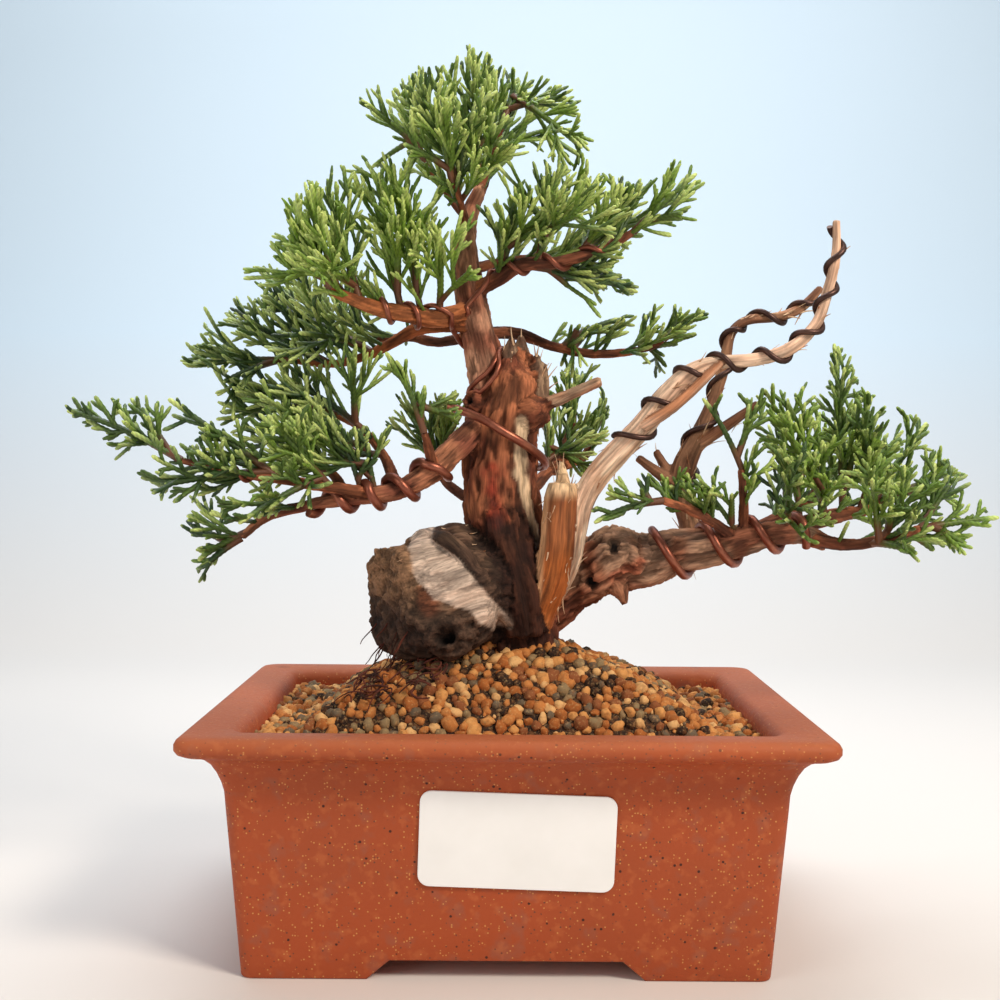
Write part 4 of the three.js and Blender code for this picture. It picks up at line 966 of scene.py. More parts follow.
def nearest_limb(points):
    """For each point the sample whose skin is nearest."""
    best = np.empty(len(points), int)
    for start in range(0, len(points), AT_ONCE):
        part = points[start : start + AT_ONCE]
        apart = np.linalg.norm(part[:, None] - SAMPLES[None, :, PLACE], axis=2) - SAMPLES[None, :, RADIUS]
        best[start : start + AT_ONCE] = apart.argmin(axis=1)
    return SAMPLES[best]


def limb_names_of(samples):
    """The name of the limb that each sample lies on."""
    return np.array(list(LIMBS))[samples[:, NUMBER].astype(int)]


def points_of(piece):
    """A piece's points on the drawing, in millimetres."""
    flat = np.empty(len(piece.data.vertices) * 3, np.float32)
    piece.data.vertices.foreach_get("co", flat)
    return (flat.reshape(-1, 3) - TRUNK_FOOT) / MM


skin_points = points_of(wood)
nearest = nearest_limb(skin_points)
limb_names = limb_names_of(nearest)
outward = unit(skin_points - nearest[:, PLACE])

# %% [markdown]
# Where a branch died, the wood round it swells and closes over the stump, until only a knot with a
# hole is left. Each row below gives such a place, its radius, how deep it goes in and how far its
# rim swells. A row with a negative depth is a burl that never opened.

# %% Knots and burls
KNOB_LUMPS = 2.2
KNOTS = [
    ((-16.5, -30, 85.4), 2.6, 5, 1.1), ((-12.6, -6.5, 151.2), 1.5, 2.2, 0.6),
    ((-30.3, -24, 90.8), 3.6, -1.7, 0), ((-36, -22, 99), 3, -1.2, 0.3),
    ((-33, -24, 105), 2.6, -0.9, 0.3), ((-7.5, -24, 101), 2.5, -1.1, 0),
    ((6.5, -5, 160.5), 1.7, 3, 0.2), ((30, -11.5, 110), 2.2, 1.4, 0.7), ((37, -11, 104), 2.2, -1.2, 0),
    ((24, -9, 99), 1.8, 1.2, 0.5), ((46, -9, 111), 2, -1, 0), ((-6, -11.5, 121), 2.2, -1.2, 0.3),
]


def knotted(points):
    """The points with the knots pushed in and the burls pushed out, and how deep in a hole each is."""
    holes = np.zeros(len(points))
    for place, radius, depth, rim in KNOTS:
        middle = np.linalg.norm(points - np.array(place), axis=1).argmin()
        away = np.linalg.norm(points - points[middle], axis=1)
        hole = 1 - blend(0.45 * radius, radius * (1 if depth > 0 else 1.5), away)
        ring = blend(0.6 * radius, 1.1 * radius, away) * (1 - blend(1.2 * radius, 2.6 * radius, away))
        points = points + (rim * ring)[:, None] * outward - (depth * hole)[:, None] * outward[middle]
        if depth > 0:
            holes = np.maximum(holes, hole)
    return points, holes


skin_points, holes = knotted(skin_points)
on_knob = np.char.startswith(limb_names, "knob")
skin_points += (on_knob * KNOB_LUMPS * (value_noise(skin_points, 6.5, 77) - 0.5))[:, None] * outward
wood.data.vertices.foreach_set("co", in_frame(skin_points).astype(np.float32).ravel())
offset = skin_points - nearest[:, PLACE]
grain = np.column_stack([(offset * nearest[:, way]).sum(axis=1) for way in (ACROSS, UP, TANGENT)])
grain[:, 2] += nearest[:, GONE]
limb_radius = nearest[:, RADIUS]
split = np.char.startswith(limb_names, "jin")
grain[:, 2] *= np.where(split, 0.5, 1)  # the fibres of bare wood run straight, so they look longer
print("points on the trunk:", int((limb_names == "trunk").sum()))

# %% [markdown]
# ### Colour, region by region
# An old juniper shows every age of wood at once: flaky red-brown bark on live limbs, the bright
# layer under freshly peeled bark, and silver, tan or orange wood where a branch was stripped and
# died. Each region is a mask over the skin's points, with a noisy edge, mixed into one colour.

# %% Colours of live bark and bare wood
BARK_COLOURS = {
    "trunk": ("#6F3C29", "#9E6040"),
    "knob": ("#4C372B", "#745946"),
    "leader": ("#BC8A6E", "#935A44"),
    "low_left": ("#7A4634", "#A0684B"),
    "low_right": ("#915A42", "#C08A66"),
    "left_mid": ("#95502E", "#A96238"),
    "upper_left": ("#94532F", "#AB673E"),
}
TWIG_COLOURS = ("#74432F", "#9A5B3C")
KIN = {
    "trunk_foot": "trunk", "burl_left": "trunk", "burl_stub": "trunk", "burl_right": "low_right",
    "spur_right": "low_right", "knob_lip": "knob", "knob_burl": "knob",
}
BARE = ("jin_main", "jin_fork", "jin_break", "jin_chip", "splinter", "stub", "jin_second")
BARE_COLOURS = {
    "jin_main": ("#E6BFA2", "#C08E6C"),
    "jin_fork": ("#DDB092", "#B57A56"),
    "jin_break": ("#B8703C", "#8A4A28"),
    "jin_chip": ("#E0C29C", "#B08A60"),
    "jin_second": ("#A97B5C", "#7C5039"),
    "splinter": ("#A5876B", "#5E4030"),
    "stub": ("#D3AC8C", "#B98565"),
}


def mixed(colours, hex_colour, share):
    """Colours moved towards another one by a share for each point."""
    share = np.clip(share, 0, 1)[:, None]
    return colours * (1 - share) + np.array(linear(hex_colour)) * share


def around(place, reach, fade):
    """1 near a place and 0 past its reach, with an uneven edge."""
    away = np.linalg.norm(skin_points - np.array(place), axis=1)
    uneven = away + fade * (value_noise(skin_points, 3, 3) - 0.5) * 2
    return 1 - blend(reach - fade, reach + fade, uneven)


def along_line(start, end, half_width, fade):
    """1 along a straight strip and 0 past its width, with an uneven edge."""
    start, end = np.array(start, float), np.array(end, float)
    way = end - start
    share = np.clip(((skin_points - start) @ way) / (way @ way), 0, 1)
    away = np.linalg.norm(skin_points - (start + share[:, None] * way), axis=1)
    uneven = away + fade * (value_noise(skin_points, 2.5, 4) - 0.5) * 2
    return 1 - blend(half_width - fade, half_width + fade, uneven)


streaks = value_noise(grain * np.array([1, 1, 0.2]), 1.3, 8)
patches = value_noise(skin_points, 6, 9)
bare = np.array([any(name.startswith(start) for start in BARE) for name in limb_names], float)
colours = np.empty((len(skin_points), 4))
for name in LIMBS:
    own = limb_names == name
    family = [key for key in BARE_COLOURS if name.startswith(key)]
    pair = BARE_COLOURS[family[0]] if family else BARK_COLOURS.get(KIN.get(name, name), TWIG_COLOURS)
    striped = 0.65 if family else 0.3
    share = blend(0.3, 0.72, striped * streaks[own] + (1 - striped) * patches[own])[:, None]
    colours[own] = np.array(linear(pair[0])) * (1 - share) + np.array(linear(pair[1])) * share

# %% Special places on the skin
X, Y, Z = skin_points.T
on_trunk = np.isin(limb_names, ("trunk", "trunk_foot", "burl_stub", "burl_left"))
on_low_right = np.isin(limb_names, ("low_right", "burl_right", "spur_right"))
uneven = 0.8 * (value_noise(skin_points, 2.5, 31) - 0.5)


def trunk_strip_of(half_width, fade):
    """The bare strip that runs down the trunk's front and turns to its right side."""
    upper = along_line((3.6, -9.5, 145), (3.4, -9.8, 130), half_width, fade)
    return on_trunk * np.maximum(upper, along_line((3.4, -9.8, 130), (8.6, -6.5, 111), half_width, fade))


trunk_strip = trunk_strip_of(1.9, 0.5)
strip_edge = trunk_strip_of(3.0, 0.7) * (1 - trunk_strip)
peeled = on_trunk * along_line((-5, -11, 131), (-3.5, -11.5, 117), 2.4, 1.6)
# Painted shade in the recess between the knob and the split plank, down the trunk's foot to the soil.
recess_shade = np.maximum(around((1, -12, 109), 10, 4), along_line((1, -13, 103), (5, -12, 84), 10, 3))

# The grey band across the knob lies between two edges, given as places along X at heights Z.
band_left = np.interp(Z, (87.3, 92.9, 96.1, 101.5, 109.6), (-5.1, -10.5, -19.9, -25.2, -27.4))
band_right = np.interp(Z, (86, 89.4, 98.8, 106.9, 111.7), (2.5, 0.7, -6.8, -13.5, -21))
front = on_knob * blend(-6, -9, Y)
band = front * blend(band_left - 0.5, band_left + 0.5, X + uneven) * blend(86, 88, Z)
band *= 1 - blend(band_right - 0.5, band_right + 0.5, X + uneven)
cut_face = on_knob * blend(3.2, 1.4, skin_points @ unit(KNOB_CUT[0]) - KNOB_CUT[1] + uneven)
# The sawn face's own tan wood, and painted light: the tan fades out downwards, so the knob's upper part is
# lighter.
tan_face_lit_top = np.maximum(cut_face, front * blend(band_left, band_left - 1.5, X)) * blend(88, 101, Z)
band_rim = front * blend(band_right - 0.6, band_right + 0.3, X)
band_rim *= blend(band_right + 2.6, band_right + 1.2, X)
ember = on_knob * around((-22.5, -28, 95.5), 3.6, 1.6)
# Painted shade: the knob darkens towards its foot on the soil.
knob_foot_shade = on_knob * blend(101, 86, Z) * (1 - band)
plank_low = (limb_names == "jin_break") * blend(113, 104, Z) * blend(87, 92, Z)
plank_left = (limb_names == "jin_break") * blend(10.6, 9.4, X + 0.06 * (106 - Z)) * blend(92, 98, Z)
plank_top = np.isin(limb_names, ("jin_break", "jin_chip")) * blend(122, 126, Z)
plank_high = (limb_names == "jin_break") * blend(106, 114, Z) * (1 - plank_top)
jin_edge = (limb_names == "jin_main") * blend(0.5, 0.72, streaks)
jin_upper = (limb_names == "jin_main") * blend(126, 150, Z)
grey_bark = on_low_right * blend(96, 101, Z)
red_strip = on_low_right * along_line((25.6, -11, 97), (37, -10, 105), 1.9, 0.9)
underside = on_low_right * blend(101, 95, Z)

for share, hex_colour in (
    (trunk_strip * 0.92, "#D9BC98"),
    (strip_edge * 0.6, "#2A1710"),
    (peeled * 0.8, "#98301C"),
    # painted shade in the recess beside the knob
    (recess_shade * (1 - bare) * 0.9, "#2A140D"),
    (tan_face_lit_top * 0.75, "#967152"),
    (ember * 0.5, "#9A4A2A"),
    (knob_foot_shade * 0.7, "#35251D"),
    (band * 0.97, "#CBB3A0"),
    (band * blend(0.5, 0.75, streaks) * 0.3, "#8E6C57"),
    (band_rim * 0.7, "#3A281F"),
    (plank_low * (0.6 + 0.3 * streaks), "#A2541F"),
    (plank_high * 0.6, "#7E4629"),
    (plank_left * 0.8, "#C99A70"),
    (plank_top * 0.8, "#DDBD94"),
    (jin_edge * 0.8, "#F0D6BA"),
    (jin_upper * 0.4, "#DFB498"),
    (grey_bark * blend(0.35, 0.6, patches) * 0.5, "#94806E"),
    (red_strip * 0.6, "#A85338"),
    (underside * 0.6, "#6E3A2A"),
    # Painted shade: each knot hole is painted near black, most in its middle.
    (holes, "#120906"),
):
    colours = mixed(colours, hex_colour, share)
bare = np.maximum.reduce([bare, band * 0.85, trunk_strip, peeled * 0.7])

# %% [markdown]
# ### Relief
# Live bark lifts in long plates with torn edges, and bare wood is scored by fine fibres. A tree of
# Geometry Nodes moves the skin in and out by two noises stretched along the grain, one cut off
# steeply to give plates and one fine. It keeps the height, from which the material paints shade in
# the hollows and highlight on the ridges.

# %% Plates and fibres
# For each noise: its squeeze across and along the grain, its low and high edge, and its detail.
PLATE_NOISE = ((0.34, 0.34, 0.11), 0.42, 0.58, 4)
FIBRE_NOISE = ((0.95, 0.95, 0.16), 0.3, 0.7, 2)


def relief_tree():
    """Moves a skin by plates on bark and by fibres, both along the stored grain."""
    tree, start, end = new_tree("bark relief", Plate_height="Float", Fibre_height="Float")
    add = partial(add_node, tree)
    named = {
        key: add("GeometryNodeInputNamedAttribute", {"Name": key}, data_type=kind)
        for key, kind in (("grain", "FLOAT_VECTOR"), ("bare", "FLOAT"), ("thickness", "FLOAT"))
    }
    heights = []
    for squeeze, low, high, detail in (PLATE_NOISE, FIBRE_NOISE):
        squeezed = add("ShaderNodeVectorMath", {0: named["grain"], 1: squeeze}, operation="MULTIPLY")
        noise = add("ShaderNodeTexNoise", {"Vector": squeezed, "Scale": 1.0, "Detail": detail})
        height = add(
            "ShaderNodeMapRange",
            {"Value": noise, "From Min": low, "From Max": high, "To Min": -0.5, "To Max": 0.5},
            interpolation_type="SMOOTHSTEP",
        )
        heights.append(height)
    live = add("ShaderNodeMapRange", {"Value": named["bare"], "To Min": 1, "To Max": 0.25})
    plate = add("ShaderNodeMath", {0: heights[0], 1: live}, operation="MULTIPLY")
    plate = add("ShaderNodeMath", {0: plate, 1: start.outputs["Plate height"]}, operation="MULTIPLY")
    total = add(
        "ShaderNodeMath",
        {0: heights[1], 1: start.outputs["Fibre height"], 2: plate},
        operation="MULTIPLY_ADD",
    )
    scaled = add("ShaderNodeMath", {0: total, 1: named["thickness"]}, operation="MULTIPLY")
    normal = add("GeometryNodeInputNormal")
    push = add("ShaderNodeVectorMath", {0: normal, "Scale": scaled}, operation="SCALE")
    hollow = add("ShaderNodeMath", {0: total, 1: 1000.0}, operation="MULTIPLY")
    kept = add("GeometryNodeStoreNamedAttribute", {0: start.outputs["Geometry"], 2: "relief", 3: hollow})
    moved = add("GeometryNodeSetPosition", {0: kept, "Offset": push})
    dressed = add("GeometryNodeSetMaterial", {0: moved, "Material": WOOD})
    feed(tree, end, {0: dressed})
    return tree


# %% Juniper bark and bare wood
def juniper_wood():
    """Painted bark and bare wood with fine streaks along the grain, with painted shade in the hollows and
    painted highlight on the ridges.
    """
    material, tree, shader = new_material("juniper_bark_and_bare_wood", Specular_IOR_Level=0.28)
    add = partial(add_node, tree)
    paint = add("ShaderNodeAttribute", attribute_name="paint").outputs["Color"]
    grain = add("ShaderNodeAttribute", attribute_name="grain").outputs["Vector"]
    relief = add("ShaderNodeAttribute", attribute_name="relief").outputs["Fac"]
    bare = add("ShaderNodeAttribute", attribute_name="bare").outputs["Fac"]
    shades = []
    for squeeze, detail, low, high, dark, light in (
        ((1.6, 1.6, 0.2), 6, 0.32, 0.68, 0.66, 1.34),
        ((0.5, 0.5, 0.07), 4, 0.4, 0.48, 0.68, 1.0),
    ):
        squeezed = add("ShaderNodeVectorMath", {0: grain, 1: squeeze}, operation="MULTIPLY")
        fibre = add("ShaderNodeTexNoise", {"Vector": squeezed, "Scale": 1.0, "Detail": detail})
        shade = add(
            "ShaderNodeMapRange",
            {"Value": fibre, "From Min": low, "From Max": high, "To Min": dark, "To Max": light},
        )
        shades.append((fibre, shade))
    (fibre, bright), (_, crack) = shades
    # Painted shade and highlight from the relief: the colour goes darker in the hollows and lighter on the
    # ridges.
    deep = add(
        "ShaderNodeMapRange",
        {"Value": relief, "From Min": -0.5, "From Max": 0.35, "To Min": 0.55, "To Max": 1.22},
    )
    shade = add("ShaderNodeMath", {0: bright, 1: crack}, operation="MULTIPLY")
    shade = add("ShaderNodeMath", {0: shade, 1: deep}, operation="MULTIPLY")
    shaded = add("ShaderNodeVectorMath", {0: paint, "Scale": shade}, operation="SCALE")
    rough = add("ShaderNodeMapRange", {"Value": bare, "To Min": 0.88, "To Max": 0.7})
    bump = add("ShaderNodeBump", {"Height": fibre, "Distance": 0.0005, "Strength": 0.8})
    feed(tree, shader, {"Base Color": shaded, "Roughness": rough, "Normal": bump})
    return material


WOOD = juniper_wood()
thickness = (blend(0.5, 9, limb_radius) * 0.85 + 0.15) * (1 - 0.6 * band) * np.where(on_knob, 0.65, 1)
for key, values in (("bare", bare), ("thickness", thickness)):
    store = wood.data.attributes.new(key, "FLOAT", "POINT")
    store.data.foreach_set("value", values.astype(np.float32))
store = wood.data.attributes.new("grain", "FLOAT_VECTOR", "POINT")
store.data.foreach_set("vector", grain.astype(np.float32).ravel())
store = wood.data.attributes.new("paint", "FLOAT_COLOR", "POINT")
store.data.foreach_set("color", colours.astype(np.float32).ravel())
apply_tree(wood, relief_tree(), **{"Plate height": 1.35 * MM, "Fibre height": 0.6 * MM})
finish_piece(wood, "wood", "tree_wood")
print("wood:", TRIANGLES[wood.name], "triangles")

# %% [markdown]
# ### Torn fibres and fine roots
# A branch that was split off leaves fibres standing along its edges. They start on the skin and
# follow the grain. Old fine roots hang under the knob, and more of them lie curled on the soil
# there. Geometry Nodes give every line a round section that thins towards its tip.

# %% Where the fibres stand
FIBRES = {"jin_break": 26, "jin_chip": 14, "jin_main": 30, "jin_second": 55, "splinter": 22, "knob": 10}
ROOTS = {"hanging": 16, "lying": 46}
FIBRE_SIDES = 5


def fibre_lines():
    """Lines along the grain that lift off the skin, with a thickness for each point."""
    random = np.random.default_rng(515)
    lines = []
    for start, count in FIBRES.items():
        own = np.flatnonzero(np.char.startswith(limb_names, start) & (Z > 88) & (outward[:, 1] < 0.6))
        for index in random.choice(own, count, replace=False):
            along = nearest[index, TANGENT] * random.choice((-1, 1, 1)) + 0.25 * random.normal(size=3)
            reach = random.uniform(2, 5.5) * (0.6 if start == "knob" else 1)
            share = np.linspace(0, 1, 6)[:, None]
            lift = random.uniform(0.08, 0.42) * reach
            line = skin_points[index] + unit(along) * reach * share
            line = line + outward[index] * (lift * share**2 - 0.2)
            lines.append((line, random.uniform(0.16, 0.38) * np.linspace(1, 0.25, 6)))
    return lines


def root_lines():
    """Thin roots that hang from the knob's left foot, and more that lie curled on the soil there."""
    random = np.random.default_rng(616)
    own = np.flatnonzero(on_knob & (Z < 88) & (X < -26) & (X > -40) & (Y < -8))
    share = np.linspace(0, 1, 8)[:, None]
    lines = []
    for index in random.choice(own, ROOTS["hanging"], replace=False):
        reach = random.uniform(4, 9)
        way = unit(outward[index] + [random.uniform(-0.9, 0.1), 0, random.uniform(-1.4, -0.3)])
        wave = np.sin(share * random.uniform(3, 8) + random.uniform(0, 6)) * random.uniform(0.3, 0.9)
        line = skin_points[index] + way * reach * share + wave * share * [1, 0.4, 0.5]
        lines.append((line, random.uniform(0.15, 0.32) * np.linspace(1, 0.5, 8)))
    for _ in range(ROOTS["lying"]):
        start = np.array([random.uniform(-42, -17), random.uniform(-33, -17), 0])
        turn, curl = random.uniform(0, 2 * math.pi), random.uniform(-2.5, 2.5)
        angles = turn + curl * share
        line = start + random.uniform(3, 9) * share * np.hstack([np.cos(angles), np.sin(angles), 0 * share])
        line[:, 2] = mound_height(line) + 0.4 + random.uniform(0, 1.6) * np.sin(math.pi * share[:, 0])
        lines.append((line, random.uniform(0.18, 0.42) * np.linspace(1, 0.5, 8)))
    return lines


def round_tree(material):
    """Round fibres or wires along lines, as thick as each point says, with flat ends."""
    tree, start, end = new_tree("round section", Sides="Int")
    add = partial(add_node, tree)
    line = add("GeometryNodeMeshToCurve", {0: start.outputs["Geometry"]})
    thick = add("GeometryNodeInputNamedAttribute", {"Name": "thick"}, data_type="FLOAT")
    section = add("GeometryNodeCurvePrimitiveCircle", {"Resolution": start.outputs["Sides"], "Radius": 1.0})
    swept = add("GeometryNodeCurveToMesh", {0: line, 1: section, "Scale": thick, "Fill Caps": True})
    dressed = add("GeometryNodeSetMaterial", {0: swept, "Material": material})
    feed(tree, end, {0: dressed})
    return tree


# %% Dry fibre
def dry_fibre(name, dark, light):
    """Dry plant fibre: dull, with each stretch a little darker or lighter."""
    material, tree, shader = new_material(name, Roughness=0.85, Specular_IOR_Level=0.25)
    place = add_node(tree, "ShaderNodeTexCoord").outputs["Object"]
    ground = add_node(tree, "ShaderNodeRGB").outputs[0]
    ground.default_value = linear(dark)
    colour = mix_by_noise(tree, place, ground, 300, 0.35, 0.65, 1, light)
    feed(tree, shader, {"Base Color": colour})
    return material


def fibre_piece(name, lines, material):
    """One mesh of fibres."""
    points, edges, thick = [], [], []
    for line, size in lines:
        edges += chain(line, len(points))
        points += list(line)
        thick += list(size * MM)
    piece = mesh_object(name, points, [], edges, {"thick": thick})
    apply_tree(piece, round_tree(material), Sides=FIBRE_SIDES)
    return finish_piece(piece, "wood")


fibre_piece("torn_fibres", fibre_lines(), dry_fibre("torn_juniper_fibre", "#9A6442", "#E2C3A0"))
fibre_piece("fine_roots", root_lines(), dry_fibre("dead_root_bark", "#2E1712", "#6A3526"))
print("fibres and roots:", TRIANGLES["torn_fibres"] + TRIANGLES["fine_roots"], "triangles")

# %% [markdown]
# ## The training wires
# Soft anodised aluminium wire is wound round the limbs and bent with them. A coil's turns follow
# from its limb: a point runs round the middle line while it moves along. Where a wire passes another
# limb or wire it is pushed clear. Geometry Nodes give every line the same round section.

# %% Wires as lines
STEPS_PER_TURN = 18
WIRE_BITE = 0.15  # the bark swells a little round the wire
WIRE_GAP = 0.1
SPLIT_SHARE = 0.9  # a wire lies nearer to the middle of split wood, which is flattened
WIRE_SIDES = 12
CLEAR_PASSES = 8


def coil(name, start, end, turns, wire, phase):
    """A line wound round a limb from one place along it to another."""
    steps = round(turns * STEPS_PER_TURN)
    points, radii = limb_at(name, np.linspace(start, end, steps + 1))
    _, across, up = frames_along(points)
    angles = phase + 2 * math.pi * turns * np.linspace(0, 1, steps + 1)
    way = across * np.cos(angles)[:, None] + up * np.sin(angles)[:, None]
    seat = way * radii[:, None] * (1.04 if name in RIDGED else 1.0)
    seat[:, 1] *= FLATTENED.get(name, 1)
    return points + seat + way * (wire - WIRE_BITE)


def bridged(before, after):
    """Two lines joined by a curve that leaves the first and meets the second without a kink."""
    reach = np.linalg.norm(after[0] - before[-1])
    leave = before[-1] + unit(before[-1] - before[-2]) * reach / 3
    arrive = after[0] - unit(after[1] - after[0]) * reach / 3
    t = np.linspace(0, 1, max(4, round(reach / 1.2)) + 1)[1:-1, None]
    between = before[-1] * (1 - t) ** 3 + 3 * leave * t * (1 - t) ** 2
    between = between + 3 * arrive * t**2 * (1 - t) + after[0] * t**3
    return np.vstack([before, between, after])


def pushed_clear(line, wire, placed):
    """Moves the line out of the wood and out of the wires that are already there."""
    line = line.copy()
    for _ in range(CLEAR_PASSES):
        wood_near = nearest_limb(line)
        away = line - wood_near[:, PLACE]
        gap = np.linalg.norm(away, axis=1)
        names = limb_names_of(wood_near)
        need = wood_near[:, RADIUS] * np.where(names == "jin_main", SPLIT_SHARE, 1) + wire - 2 * WIRE_BITE
        line += unit(away) * np.maximum(need - gap, 0)[:, None]
        for other, radius in placed:
            apart = line[:, None] - other[None]
            gaps = np.linalg.norm(apart, axis=2)
            near = gaps.argmin(axis=1)
            rows = np.arange(len(line))
            lack = np.maximum(radius + wire + WIRE_GAP - gaps[rows, near], 0)
            line += unit(apart[rows, near]) * lack[:, None]
    return line


TRUNK_WRAP = [
    (-17, -6, 149), (-8, -11, 145.5), (-2, -12.5, 142), (4, -11, 138.5), (9, -6, 135), (10.5, 0, 132.5),
    (7.6, 8, 132), (-2, 12.5, 133), (-11.6, 8, 135.5), (-14.6, 1, 138.5),
]

WIRES = [
    ("wire_trunk_to_low_left", 1.25, "copper"), ("wire_leader_to_left", 0.75, "copper"),
    ("wire_leader_to_right", 0.75, "copper"), ("wire_low_right", 1.25, "copper"),
    ("wire_jin", 0.8, "brown"), ("wire_jin_second", 0.8, "brown"), ("wire_left_arm", 0.6, "copper"),
]

# The limb that each coil is wound on, where it starts and ends there, its turns and its first angle.
COILS = {
    "wire_trunk_to_low_left": [("low_left", 0.3, 0.78, 4.2, 2.9)],
    "wire_leader_to_left": [("leader", 0.1, 0.34, 0.9, 3.2), ("upper_left", 0.34, 0.7, 2, 0)],
    "wire_leader_to_right": [("leader", 0.155, 0.455, 1.125, 3.2), ("right_crown", 0.3, 0.9, 2.9, 0)],
    "wire_low_right": [("low_right", 0.5, 0.93, 3.4, 0)],
    "wire_jin": [("jin_main", 0.435, 0.99, 8, 0)],
    "wire_jin_second": [("jin_second", 0.2, 0.97, 6, 0)],
    "wire_left_arm": [("low_left_arm", 0.6, 0.93, 2.4, 0)],
}


def route(name, wire):
    """A wire's line before it is pushed clear: its coils, with a bridge between two of them."""
    lines = [coil(limb, start, end, turns, wire, phase) for limb, start, end, turns, phase in COILS[name]]
    if name == "wire_trunk_to_low_left":
        wrap, _ = curve_through(TRUNK_WRAP, np.linspace(0, len(TRUNK_WRAP) - 1, 61))
        lines.insert(0, wrap)
    return bridged(*lines) if len(lines) == 2 else lines[0]


# %% Round wire
def anodised_wire(name, base, wear_and_sheen):
    """Anodised aluminium: a coloured, satin metal skin, rubbed paler where it was bent."""
    material, tree, shader = new_material(name, Metallic=0.8, Roughness=0.42)
    add = partial(add_node, tree)
    place = add("ShaderNodeTexCoord").outputs["Object"]
    skin = add("ShaderNodeRGB").outputs[0]
    skin.default_value = linear(base)
    colour = mix_by_noise(tree, place, skin, 260, 0.45, 0.75, 0.55, wear_and_sheen)
    colour = mix_by_noise(tree, place, colour, 1800, 0.6, 0.75, 0.5, base, 2)
    fine = add("ShaderNodeTexNoise", {"Vector": place, "Scale": 1500, "Detail": 3})
    bump = add("ShaderNodeBump", {"Height": fine, "Distance": 0.00008, "Strength": 0.5})
    feed(tree, shader, {"Base Color": colour, "Normal": bump})
    return material


ANODISED = {
    "copper": anodised_wire("copper_anodised_aluminium", "#8E5240", "#B87A5E"),
    "brown": anodised_wire("brown_anodised_aluminium", "#48342F", "#6E4F42"),
}


WIRE_TREES = {key: round_tree(material) for key, material in ANODISED.items()}
placed_wires = []
for name, radius, finish in WIRES:
    line = pushed_clear(route(name, radius), radius, placed_wires)
    placed_wires.append((line, radius))
    wire = mesh_object("round_" + name, line, [], chain(line), {"thick": [radius * MM] * len(line)})
    apply_tree(wire, WIRE_TREES[finish], Sides=WIRE_SIDES)
    finish_piece(wire, "wire", name)
print("wires:", sum(TRIANGLES["round_" + name] for name, _, _ in WIRES), "triangles")

# %% [markdown]
# ## The foliage
# Shimpaku juniper has no flat leaves. Its twiglets are cords little over 1 mm thick, sheathed in
# pairs of tiny scales, each pair turned a quarter from the last, and they fork every few mm. The
# script draws only middle lines: axes, branchlets along them, forks along those. Geometry Nodes turn
# each line into a four-sided cord whose corners swell in turn, which is just how the scales sit.

